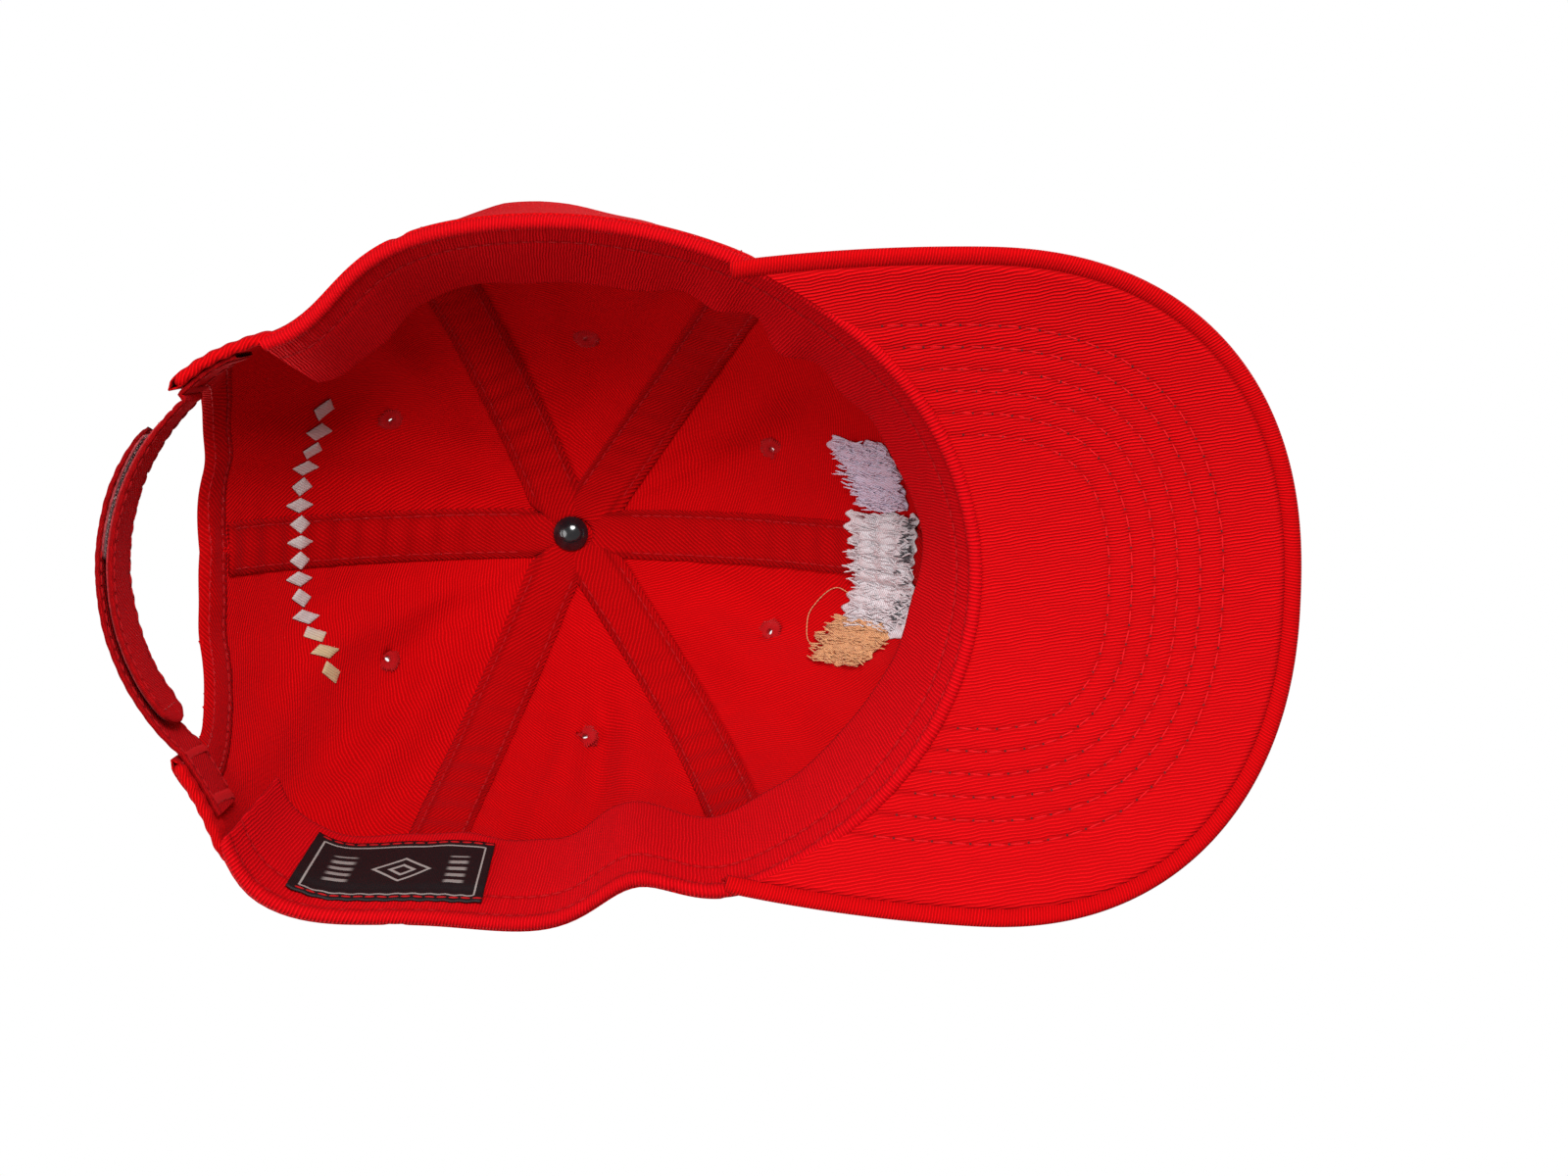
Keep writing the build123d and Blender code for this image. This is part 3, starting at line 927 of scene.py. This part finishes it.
# Painted shade along the binding's sunk stitch row near each free edge, and at the free edges where it meets
# the crown.
groove = binding.verts.layers.float["groove"]
for face in binding.faces:
    for loop in face.loops:
        across = loop[binding.loops.layers.uv["cloth"]].uv.x
        from_edge = min(across, binding_girth - across)
        loop.vert[groove] = max(exp(-(((from_edge - 0.0013) / 0.0006) ** 2)),
                                1 - from_edge / 0.0007) * 0.7
binding = piece_of(binding, "arch_binding_cloth", tape_twill, ["arch_binding"],
                   thick=0.0004)
binding_threads = bmesh.new()
for growth in (0.0012, 0.0057):
    outline = even_line(arch_outline(growth), 300)
    for inset, face in ((panel_thick + 0.00085, -1), (-0.00085, 1)):
        route = [on_wall(x, z, inset) for x, z in outline if z > 0.001]
        stitch_row(binding_threads, route, [outward(point) * face for point in route], 0.0029)
piece_of(binding_threads, "arch_stitching", red_thread)


# Crown hem: between the sweatband's ends and the rear opening, the crown's lower edge is rolled
# in and sewn on its own.
hem_section = [(-0.0006, 0.0060), (-0.0007, 0.0014), (-0.0003, -0.0004), (0.0008, -0.0010),
               (0.0018, -0.0003), (0.0019, 0.0014), (0.0018, 0.0062), (0.0014, 0.0070)]
hem_places = np.array(hem_section)
hem_steps = np.concatenate([[0], np.cumsum(np.linalg.norm(np.diff(hem_places, axis=0), axis=1))])


def hem_point(turn, distance, fill, lift=0.0):
    """A point of the hem; fill is how full its roll is, from 0 at a closed end to 1."""
    inward = 0.0006 + (float(np.interp(distance, hem_steps, hem_places[:, 0])) - 0.0006) * fill
    up = 0.0022 + (float(np.interp(distance, hem_steps, hem_places[:, 1])) - 0.0022) * fill
    foot = soft_wall(turn, degrees(asin(max(up, 0) / crown_height)))
    pucker = 0.00015 * sin(radians(turn) * 0.1 / 0.0042 * 2 * pi)
    return Vector((foot.x, foot.y, up)) - outward(foot) * (inward + pucker + lift)


for side, name in ((1, "left"), (-1, "right")):
    start, end = (47.0, 62.0) if side > 0 else (133.0, 118.0)
    turned = radians(15.0) * 0.1
    hem = cloth_grid(60, 28, lambda across, along: hem_point(
        start + (end - start) * across, along * hem_steps[-1],
        min(across / 0.15, (1 - across) / 0.06, 1) ** 0.5),
                     lambda across, along: (across * turned, along * hem_steps[-1]))
    hem = piece_of(hem, f"crown_hem_{name}", crown_twill, thick=0.0005)


# Size straps: each a folded strip of the same twill with both long edges sewn. The hook strap closes
# outside the loop strap, and each is sewn by its root to the inside of the crown.
strap_twill = twill("strap_twill", (0.66, 0.0030, 0.0060), (0.34, 0.0008, 0.0015), turn=radians(35))
strap_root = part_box("hook_strap")[1][0]
strap_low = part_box("hook_strap")[0][2]
strap_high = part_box("hook_strap")[1][2]
strap_thick = 0.0012
patch_thick = 0.0008
loop_middle = 0.055 + strap_thick / 2
hook_middle = loop_middle + strap_thick + 2 * patch_thick + 0.0003
hook_pivot = next(joint for joint in frame["joints"] if joint["name"] == "hook_strap_peel")["pos_m"]
strap_centre = hook_pivot[1] - sqrt(hook_middle**2 - strap_root**2)
root_inset = panel_thick + 0.0007 + strap_thick / 2


def strap_line(side, middle, end):
    """The strap seen from above, from its root's far end on the crown to its free end."""
    points = []
    for step in range(12):
        spot = on_wall(side * (0.0568 - 0.0125 * step / 11), 0.0115, root_inset)
        points.append((spot.x, spot.y))
    first = asin(0.0420 / middle)
    last = asin(-end / middle)
    for step in range(1, 80):
        turn = first + (last - first) * step / 79
        points.append((side * middle * sin(turn), strap_centre + middle * cos(turn)))
    return even_line(points, 161)


def strap_piece(side, middle, end, tip, name, nodes, body):
    """A closed, folded strip along a line, with puckered edges and a shaped free end."""
    line = strap_line(side, middle, end)
    run = np.gradient(line, axis=0)
    run /= np.linalg.norm(run, axis=1)[:, None]
    face = np.stack([run[:, 1], -run[:, 0]], 1) * -side
    length = float(np.linalg.norm(np.diff(line, axis=0), axis=1).sum())
    half = (strap_high - strap_low) / 2

    def section(along, across):
        """A point of the strap's surface: along it, and round its closed section."""
        at = along * 160
        low = min(int(at), 159)
        spot = line[low] + (line[low + 1] - line[low]) * (at - low)
        out = Vector((*face[low], 0))
        from_end = (1 - along) * length
        narrow = half * (1 - max(0, 1 - sqrt(max(from_end, 0) / tip)) ** 2) if from_end < tip else half
        narrow = max(narrow, 0.0006)
        turn = 2 * pi * across
        height = max(-1, min(1, 1.32 * sin(turn)))
        depth = cos(turn)
        edge = exp(-(((1 - abs(height)) * narrow / 0.0006) ** 2))
        seam = exp(-((((1 - abs(height)) * narrow - 0.0021) / 0.0007) ** 2))
        thick = strap_thick / 2 * (1 - 0.55 * edge - 0.25 * seam)
        wave = 0.0004 * noise.noise(Vector((along * 9, side * 3, height))) * min(along * 4, 1)
        pucker = 0.00013 * sin(along * length / 0.0042 * 2 * pi) * abs(height) ** 3
        bulge = (1 if depth > 0 else -1) * min(abs(depth) * 2.2, 1) * thick
        top = ((strap_low + strap_high) / 2
               + height * (narrow + 0.0002 * sin(along * length / 0.0042 * 2 * pi)))
        return Vector((*spot, top)) + out * (bulge + wave * 0.5 + pucker)

    strip = cloth_grid(40, 160, lambda across, along: section(along, across),
                       lambda across, along: (across * 0.042, along * length))
    bmesh.ops.remove_doubles(strip, verts=strip.verts, dist=0.00002)
    # Painted shade along the strap's sunk stitch lines, 2.1 mm in from each edge.
    groove = strip.verts.layers.float["groove"]
    for point in strip.verts:
        from_edge = min(point.co.z - strap_low, strap_high - point.co.z)
        point[groove] = 0.8 * exp(-(((from_edge - 0.0021) / 0.0006) ** 2))
    bmesh.ops.recalc_face_normals(strip, faces=strip.faces)
    strip = piece_of(strip, name, strap_twill, nodes, body=None)
    start, finish = line[10], line[26]
    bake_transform(strip, "root", body, start=(*start, 0.0115), end=(*finish, 0.0115))

    threads = bmesh.new()
    for height in (-0.0021, 0.0021):
        base = strap_high + height if height < 0 else strap_low + height
        for facing in (1, -1):
            route, ups = [], []
            for step in range(6, int(160 * (1 - tip * 0.6 / length))):
                out = Vector((*face[step], 0)) * facing
                route.append(Vector((*line[step], base)) + out * (strap_thick / 2 + 0.00002))
                ups.append(out)
            stitch_row(threads, route, ups, 0.0031)
    end_low = strap_low + 0.0028
    for facing in (1, -1):
        step = int(160 * (1 - tip * 0.55 / length))
        out = Vector((*face[step], 0)) * facing
        bottom = Vector((*line[step], end_low)) + out * (strap_thick / 2 + 0.00002)
        stitch_row(threads, [bottom, bottom + Vector((0, 0, strap_high - 0.0028 - end_low))],
                   [out, out], 0.0031)
    threads = piece_of(threads, name + "_stitching", red_thread, body=None)
    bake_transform(threads, "root", body, start=(*start, 0.0115), end=(*finish, 0.0115))


strap_piece(1, hook_middle, -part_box("hook_strap")[0][0], 0.011, "hook_strap_cloth",
            ["hook_strap", "hook_strap_root"], "hook_side")
strap_piece(-1, loop_middle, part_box("loop_strap")[1][0], 0.008, "loop_strap_cloth",
            ["loop_strap", "loop_strap_root"], "loop_side")


# Hook and loop patches: a dark red hook tape on the hook strap's inner face, and a soft red
# pile on the loop strap's outer face.
def patch_piece(node, body, radius, facing, finish, fibre_finish, fibres, fibre_length,
                fibre_thick):
    low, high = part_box(node)
    first, last = asin(low[0] / radius), asin(high[0] / radius)

    def spot(across, height, lift=0.0):
        turn = first + (last - first) * across
        away = radius + facing * lift
        return Vector((away * sin(turn), strap_centre + away * cos(turn),
                       low[2] + (high[2] - low[2]) * height))

    def place(across, along):
        round_off = (2 * abs(across - 0.5)) ** 14
        height = 0.5 + (along - 0.5) * (1 - 0.30 * round_off)
        return spot(across, height,
                    0.00008 * noise.noise(Vector((across * 40, along * 25, radius * 900))))

    sheet = cloth_grid(60, 20, place, lambda across, along: (across * (last - first) * radius,
                                                            along * (high[2] - low[2])))
    sheet = piece_of(sheet, node + "_tape", finish, [node], body, thick=0.0004)
    (last - first) * radius
    pile = bmesh.new()
    for number in range(fibres):
        across, height = random.random(), 0.03 + 0.94 * random.random()
        if abs(across - 0.5) > 0.46 and abs(height - 0.5) > 0.32:
            continue
        foot = spot(across, height, 0.0001)
        lean = Vector((random.uniform(-1, 1), 0, random.uniform(-1, 1))) * fibre_length * 0.55
        stitch(pile, foot, spot(across, height, fibre_length) + lean, Vector((0, 0, 1)), fibre_thick)
    piece_of(pile, node + "_pile", fibre_finish, [], body)


def plain_cloth(name, light, dark, scale=1500.0, roughness=0.85):
    """Any small fabric: its colour varies with a fine fibre pattern."""
    finish = Finish(name, light, roughness, Sheen_Weight=0.2, Sheen_Roughness=0.4)
    where = finish.node("ShaderNodeTexCoord", output=3)
    fibre = finish.cloudy(where, scale, 3.0)
    finish.colour(finish.mix(fibre.between(0.3, 0.7), dark, light))
    finish.relief(fibre, 0.0002, 0.7)
    return finish.material


hook_tape = plain_cloth("hook_tape", (0.45, 0.06, 0.07), (0.22, 0.012, 0.015))
hook_fluff = plain_cloth("hook_fluff", (0.70, 0.52, 0.50), (0.40, 0.20, 0.19))
loop_tape = plain_cloth("loop_tape", (0.42, 0.012, 0.018), (0.20, 0.004, 0.006))
patch_piece("hook_patch", "hook_side", hook_middle - strap_thick / 2 - 0.0003, -1, hook_tape,
            hook_fluff, 500, 0.00045, 0.00018)
patch_piece("loop_patch", "loop_side", loop_middle + strap_thick / 2 + 0.0003, 1, loop_tape,
            loop_tape, 1600, 0.00045, 0.00020)


# Bar tacks: close zigzag threads that hold each strap's root to the crown.
bar_threads = bmesh.new()
for side in (1, -1):
    for middle in (0.0456, 0.0550):
        for number in range(30):
            z = 0.0042 + number * 0.00049
            ends = []
            for reach_out, shift in ((-0.0009, 0), (0.0009, 0.00025)):
                ends.append(on_wall(side * (middle + reach_out + random.uniform(-1, 1) * 0.00012),
                                    z + shift, root_inset + strap_thick / 2 + 0.0002))
            if number % 2:
                ends.reverse()
            stitch(bar_threads, ends[0], ends[1], -outward(ends[0]), 0.0005)
piece_of(bar_threads, "bar_tack_threads", red_thread, ["bar_tacks"])


# Button: a cloth-covered shell outside, a glossy black cap inside, and the steel post of the two.
shell_low, shell_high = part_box("button_shell")
shell_radius = shell_high[0]
shell_rise = shell_high[2] - shell_low[2]


def shell_place(across, along):
    turn = 2 * pi * across
    lean = along * pi / 2
    pleat = 1 + 0.02 * sin(turn * 9 + 0.6 * sin(turn * 2)) * along**5
    away = shell_radius * sin(lean) * pleat * 0.99
    return Vector((away * cos(turn), away * sin(turn),
                   shell_low[2] + 0.0006 + (shell_rise - 0.0006) * cos(lean)))


shell = cloth_grid(72, 24, shell_place, lambda across, along: (
    shell_radius * 1.2 * along * cos(2 * pi * across), shell_radius * 1.2 * along * sin(2 * pi * across)))
bmesh.ops.remove_doubles(shell, verts=shell.verts, dist=0.00001)
bmesh.ops.recalc_face_normals(shell, faces=shell.faces)
shell = piece_of(shell, "button_shell_cloth", crown_twill, ["button_shell"], thick=0.0006)


def smooth_finish(name, colour, roughness, dust, **constants):
    """Plastic, metal or board, with faint uneven gloss and dust."""
    finish = Finish(name, colour, roughness, **constants)
    where = finish.node("ShaderNodeTexCoord", output=3)
    patches = finish.cloudy(where, 160.0, 3.0)
    finish.colour(finish.mix(patches.between(0.45, 0.75) * dust, colour,
                             [channel + 0.05 for channel in colour]))
    finish.rough(patches * 0.12 + (roughness - 0.06))
    finish.relief(finish.cloudy(where, 1200.0, 2.0), 0.00002, 0.4)
    return finish.material


for node, finish in (
    ("button_cap", smooth_finish("cap_gloss", (0.006, 0.006, 0.008), 0.16, 0.3, Coat_Weight=0.6)),
    ("button_post", smooth_finish("post_steel", (0.55, 0.55, 0.56), 0.32, 0.2, Metallic=1.0)),
    ("visor_board", smooth_finish("board_white", (0.72, 0.72, 0.70), 0.55, 0.5)),
):
    for slot in frame["nodes"][node].material_slots:
        slot.material = finish


# Woven label: black satin on the sweatband, with a pale frame line and a plain motif, sewn along
# its long edges.
label_middle = 24.0
label_length = 0.041
label_low, label_high = 0.0045, 0.0265


def label_place(across, along, lift=0.0):
    turn = label_middle + degrees((across - 0.5) * label_length / reach(label_middle, 0, 0.006))
    height = label_low + (label_high - label_low) * along
    distance = float(np.interp(height, band_places[8:17, 1], band_steps[8:17]))
    ripple = 0.0002 * noise.noise(Vector((across * 7, along * 4, 5)))
    curl = 0.0006 * (2 * abs(across - 0.5)) ** 6
    return band_point(turn, distance, 0.0009 + ripple + curl + lift)


label = Finish("label_satin", (0.004, 0.003, 0.004), 0.5)
label.shader.inputs["Specular IOR Level"].default_value = 0.25
where = label.place(0, (1, 1, 1))
across, along, _ = label.axes(where)
weave = (across * 2600).wave() * 0.5 + (along * 3800).wave() * 0.5
wide = (across - label_length / 2).math("ABSOLUTE")
tall = (along - 0.011).math("ABSOLUTE")


def band_at(value, middle, half):
    """1 within half of the middle, and 0 outside."""
    return 1 - (value - middle).math("ABSOLUTE").between(half * 0.7, half * 1.3)


frame_line = band_at(wide, label_length / 2 - 0.0022, 0.00022) * (1 - tall.between(0.0087, 0.0090))
frame_line = frame_line.math("MAXIMUM", band_at(tall, 0.0088, 0.00022)
                             * (1 - wide.between(0.0181, 0.0184)))
lozenge = (wide * 0.7 + tall)
motif = band_at(lozenge, 0.0042, 0.00035).math("MAXIMUM", band_at(lozenge, 0.0018, 0.0004))
bars = (band_at(wide, 0.0125, 0.0022) * band_at((along * 420).wave(), 0.2, 0.25)
        * (1 - tall.between(0.0048, 0.0052)))
shown = frame_line.math("MAXIMUM", motif).math("MAXIMUM", bars * 0.8)
label.colour(label.mix(shown * 0.75, label.mix(weave, (0.003, 0.002, 0.003), (0.012, 0.008, 0.009)),
                       (0.40, 0.36, 0.34)))
label.relief(weave + shown, 0.00010, 0.5)
label_sheet = cloth_grid(60, 30, label_place,
                         lambda across, along: (across * label_length, along * (label_high - label_low)))
label_sheet = piece_of(label_sheet, "woven_label_satin", label.material, ["woven_label"],
                       thick=0.0004)
label_threads = bmesh.new()
for along in (0.045, 0.955):
    route = [label_place(step / 60, along, 0.0003) for step in range(61)]
    stitch_row(label_threads, route, [-outward(point) for point in route], 0.0029)
piece_of(label_threads, "label_stitching", red_thread)


# Front embroidery: three plain lozenges of satin thread outside, and inside the loose thread of
# their undersides on a soft white backing.
def thread_finish(name, light, dark, turn, rib=0.00042):
    """Close parallel embroidery thread with a satin gloss."""
    finish = Finish(name, light, 0.5, Sheen_Weight=0.25, Sheen_Roughness=0.35)
    where = finish.place(turn, (1 / rib, 1 / rib, 1 / rib), "Object")
    across, along, _ = finish.axes(where)
    sway = finish.cloudy(where, 0.2, 1.0)
    ribs = (across + sway * 0.9).wave()
    fluff = finish.cloudy(where, 1.3, 3.0)
    finish.colour(finish.mix(ribs * 0.7 + fluff * 0.3, dark, light))
    finish.relief(ribs * 0.8 + fluff * 0.3, rib * 0.5, 0.8)
    return finish.material


lavender = thread_finish("lavender_thread", (0.86, 0.76, 0.88), (0.50, 0.38, 0.52), 0.5)
white = thread_finish("white_thread", (0.88, 0.85, 0.86), (0.56, 0.48, 0.52), 1.2)
peach = thread_finish("peach_thread", (0.92, 0.52, 0.26), (0.55, 0.24, 0.10), -0.6)
grey = sewing("grey_thread", (0.09, 0.09, 0.10))


def raised_patch(middle, high, wide, tall, inset, side, swell, rough):
    """A lozenge of thread on the crown, swollen in the middle, at an inset of its wall."""
    def place(across, along):
        u, v = across * 2 - 1, along * 2 - 1
        x = middle + (u + v) * wide / 2
        z = high + (v - u) * tall / 2
        edge = max(abs(u), abs(v))
        lift = swell * (1 - edge**5) + rough * noise.noise(Vector((x * 700, z * 700, inset * 900)))
        return on_wall(x, z, inset + (lift if inset > 0 else -lift), side)
    return cloth_grid(34, 34, place, lambda across, along: (across * wide, along * tall))


front_shapes = [
    (-0.0205, 0.0635, 0.0098, 0.0150, lavender, "lavender"),
    (0.0000, 0.0625, 0.0100, 0.0165, white, "white"),
    (0.0205, 0.0635, 0.0098, 0.0150, peach, "peach"),
]


def front_panels(middle, wide):
    """The front panels that a patch of thread lies on; the wearer's left is at +X."""
    left = ["front_panel_left_cloth"] if middle + wide > 0 else []
    right = ["front_panel_right_cloth"] if middle - wide < 0 else []
    return left + right


for middle, high, wide, tall, finish, name in front_shapes:
    patch = raised_patch(middle, high, wide, tall, -0.00025, -1, 0.0006, 0.00008)
    bmesh.ops.recalc_face_normals(patch, faces=patch.faces)
    patch = piece_of(patch, f"front_{name}_lozenge", finish, ["front_embroidery"],
                     thick=0.0003)
    2 * wide
    2 * tall
    2 * wide * tall
    front_panels(middle, wide)


def over_tape(x):
    """How much higher the backing lies where it crosses the front seam's tape."""
    return tape_thick * max(0, min(1, (0.0086 - abs(x)) / 0.0016))


def loose_threads(count, middle, high, wide, tall, side, longest, thick, lift):
    """Short threads in every direction, lying on the inside of a wall in a patch."""
    threads = bmesh.new()
    for _ in range(count):
        x = middle + random.uniform(-wide, wide)
        z = high + random.uniform(-tall, tall) * (1 - 0.3 * abs(x - middle) / wide)
        turn = random.gauss(pi / 2, 0.28)
        half = random.uniform(0.4, 1) * longest / 2
        inset = panel_thick + over_tape(x) + lift * random.uniform(0.6, 1.2)
        start = on_wall(x - half * cos(turn), z - half * sin(turn), inset, side)
        end = on_wall(x + half * cos(turn), z + half * sin(turn), inset + 0.0002, side)
        stitch(threads, start, end, -outward(start), thick)
    return threads


thread_column = 0.0036
backing_parts = [
    ("lavender", lavender, -0.0205, 0.0650, 0.0092, 0.0090, 340),
    ("white", white, 0.0050, 0.0650, 0.0150, 0.0110, 480),
    ("peach", peach, 0.0245, 0.0690, 0.0060, 0.0098, 300),
]
for name, finish, middle, high, wide, tall, count in backing_parts:
    def place(across, along, middle=middle, high=high, wide=wide, tall=tall):
        ragged = 1 + 0.22 * noise.noise(Vector((across * 5, along * 5, middle * 900)))
        x = middle + (across * 2 - 1) * wide * ragged
        notch = (1 - 0.16 * (0.5 - 0.5 * cos(2 * pi * (x - middle) / thread_column))
                 - 0.25 * max(0, x - 0.024) / 0.007)
        z = high + (along * 2 - 1) * tall * ragged * notch
        lump = (noise.noise(Vector((x * 420, z * 420, 3))) * 0.5
                + noise.noise(Vector((x * 1300, z * 1300, 6))) * 0.3)
        edge = max(abs(across * 2 - 1), abs(along * 2 - 1))
        column = abs(sin(pi * (x - middle) / thread_column)) ** 0.6
        lift = (0.0004 + 0.0008 * column + 0.0004 * lump) * (1 - edge**6)
        return on_wall(x, z, panel_thick + over_tape(x) + 0.0003 + lift, -1)

    sheet = cloth_grid(80, 44, place, lambda across, along: (across * wide * 2, along * tall * 2))
    sheet = piece_of(sheet, f"front_{name}_backing", finish,
                     ["front_embroidery_backing"], thick=0.0003)
    2 * wide
    2 * tall
    front_panels(middle, wide)
    threads = loose_threads(count, middle, high, wide * 1.02, tall * 1.02, -1, 0.0042, 0.00045, 0.0016)
    piece_of(threads, f"front_{name}_threads", finish)
for name, middle, high, wide, tall in (("upper", -0.004, 0.056, 0.006, 0.0022),
                                       ("lower", 0.008, 0.057, 0.010, 0.0030)):
    threads = loose_threads(40, middle, high, wide, tall, -1, 0.0026, 0.0004, 0.0019)
    piece_of(threads, f"front_{name}_grey_threads", grey)

# One thread has come loose from the backing and lies in a loop on the cloth.
loop_threads = bmesh.new()
loop_points = []
for step in range(33):
    turn = radians(-20 + 230 * step / 32)
    x = 0.0185 + 0.0072 * cos(turn) * (1 + 0.12 * sin(turn * 3))
    loop_points.append(on_wall(x, 0.0775 + 0.0062 * sin(turn), panel_thick + 0.0005, -1))
for before, after in zip(loop_points, loop_points[1:]):
    stitch(loop_threads, before - (after - before) * 0.15, after, -outward(before), 0.00028)
piece_of(loop_threads, "front_loose_thread", peach)

# Rear embroidery: a row of small lozenges outside, and their white undersides inside, yellowed at
# the end near the wearer's left.
motif = Finish("motif_thread", (0.72, 0.68, 0.66), 0.5, Sheen_Weight=0.25, Sheen_Roughness=0.35)
where = motif.place(0.2, (2600, 2600, 2600), "Object")
ribs = motif.axes(where)[0].wave() * 0.7 + motif.cloudy(where, 1.3, 3.0) * 0.3
yellowed = motif.axes(motif.node("ShaderNodeTexCoord", output=3))[0].between(0.020, 0.028)
motif.colour(motif.mix(ribs, motif.mix(yellowed, (0.34, 0.26, 0.25), (0.36, 0.24, 0.12)),
                       motif.mix(yellowed, (0.72, 0.68, 0.66), (0.74, 0.62, 0.36))))
motif.relief(ribs, 0.00018, 0.8)
motif_height = 0.0768
for where_sewn, inset in (("outside", -0.00025), ("inside", panel_thick + 0.0003)):
    row = bmesh.new()
    for number in range(15):
        middle = -0.0345 + 0.00493 * number
        wide, tall = (0.0019, 0.0030) if number % 2 else (0.0024, 0.0022)
        tape_lift = tape_thick if where_sewn == "inside" and abs(middle) < 0.0075 else 0
        bowed = motif_height - 0.0040 * (middle / 0.036) ** 2
        patch = raised_patch(middle, bowed, wide, tall, inset + tape_lift, 1, 0.0004, 0.0001)
        part = bpy.data.meshes.new("lozenge")
        patch.to_mesh(part)
        patch.free()
        row.from_mesh(part)
        bpy.data.meshes.remove(part)
    bmesh.ops.recalc_face_normals(row, faces=row.faces)
    nodes = ["rear_embroidery"] if where_sewn == "outside" else ["rear_embroidery_backing"]
    row = piece_of(row, f"rear_lozenges_{where_sewn}", motif.material, nodes,
                   thick=0.0003)


bpy.context.scene.view_settings.view_transform = "Standard"

# Floor and light: a pale floor that is seen only from above, a soft key lamp below that lights the
# wearer's left side, a soft lamp above, and a pale sky.
floor_finish = Finish("floor_finish", (0.84, 0.84, 0.85), 0.9)
facing = floor_finish.node("ShaderNodeNewGeometry", output=6)
floor_clear = floor_finish.node("ShaderNodeBsdfTransparent")
floor_mixed = floor_finish.node("ShaderNodeMixShader", {}, {
    0: facing, 1: Value(floor_finish, floor_finish.shader.outputs[0]), 2: floor_clear})
floor_finish.tree.links.new(floor_mixed.socket, floor_finish.tree.nodes["Material Output"].inputs[0])
floor = bmesh.new()
bmesh.ops.create_grid(floor, x_segments=1, y_segments=1, size=4)
bmesh.ops.translate(floor, verts=floor.verts, vec=(0, 0, cad_box[0][2] - 0.001))
floor_mesh = bpy.data.meshes.new("floor")
floor.to_mesh(floor_mesh)
floor.free()
floor_mesh.materials.append(floor_finish.material)
floor = bpy.data.objects.new("floor", floor_mesh)
bpy.context.collection.objects.link(floor)
floor.visible_shadow = False
floor.visible_diffuse = False
floor.visible_glossy = False
floor.visible_transmission = False


def lamp(name, place, at, size, power, colour=(1, 1, 1)):
    light = bpy.data.lights.new(name, "AREA")
    light.shape = "DISK"
    light.size = size
    light.energy = power
    light.color = colour
    holder = bpy.data.objects.new(name, light)
    holder.location = place
    direction = Vector(at) - Vector(place)
    holder.rotation_euler = direction.to_track_quat("-Z", "Y").to_euler()
    bpy.context.collection.objects.link(holder)


lamp("key_below", (-0.52, -0.12, -0.80), (0.02, 0.0, 0.03), 0.4, 9.6)
lamp("fill_below", (0.05, 0.65, -0.65), (0, -0.08, 0.02), 0.6, 4)
lamp("key_above", (-0.7, -0.9, 1.1), (0, -0.02, 0.04), 0.9, 22)
lamp("rim_above", (0.9, 0.9, 0.7), (0, 0, 0.04), 0.8, 14)
sky = bpy.data.worlds.new("sky")
bpy.context.scene.world = sky
sky.use_nodes = True
sky_light = sky.node_tree.nodes["Background"]
sky_light.inputs[0].default_value = (1.0, 1.0, 1.0, 1)
seen = sky.node_tree.nodes.new("ShaderNodeLightPath")
strength = sky.node_tree.nodes.new("ShaderNodeMapRange")
strength.inputs[3].default_value = 0.36
strength.inputs[4].default_value = 1.0
sky.node_tree.links.new(seen.outputs["Is Camera Ray"], strength.inputs[0])
sky.node_tree.links.new(strength.outputs[0], sky_light.inputs[1])
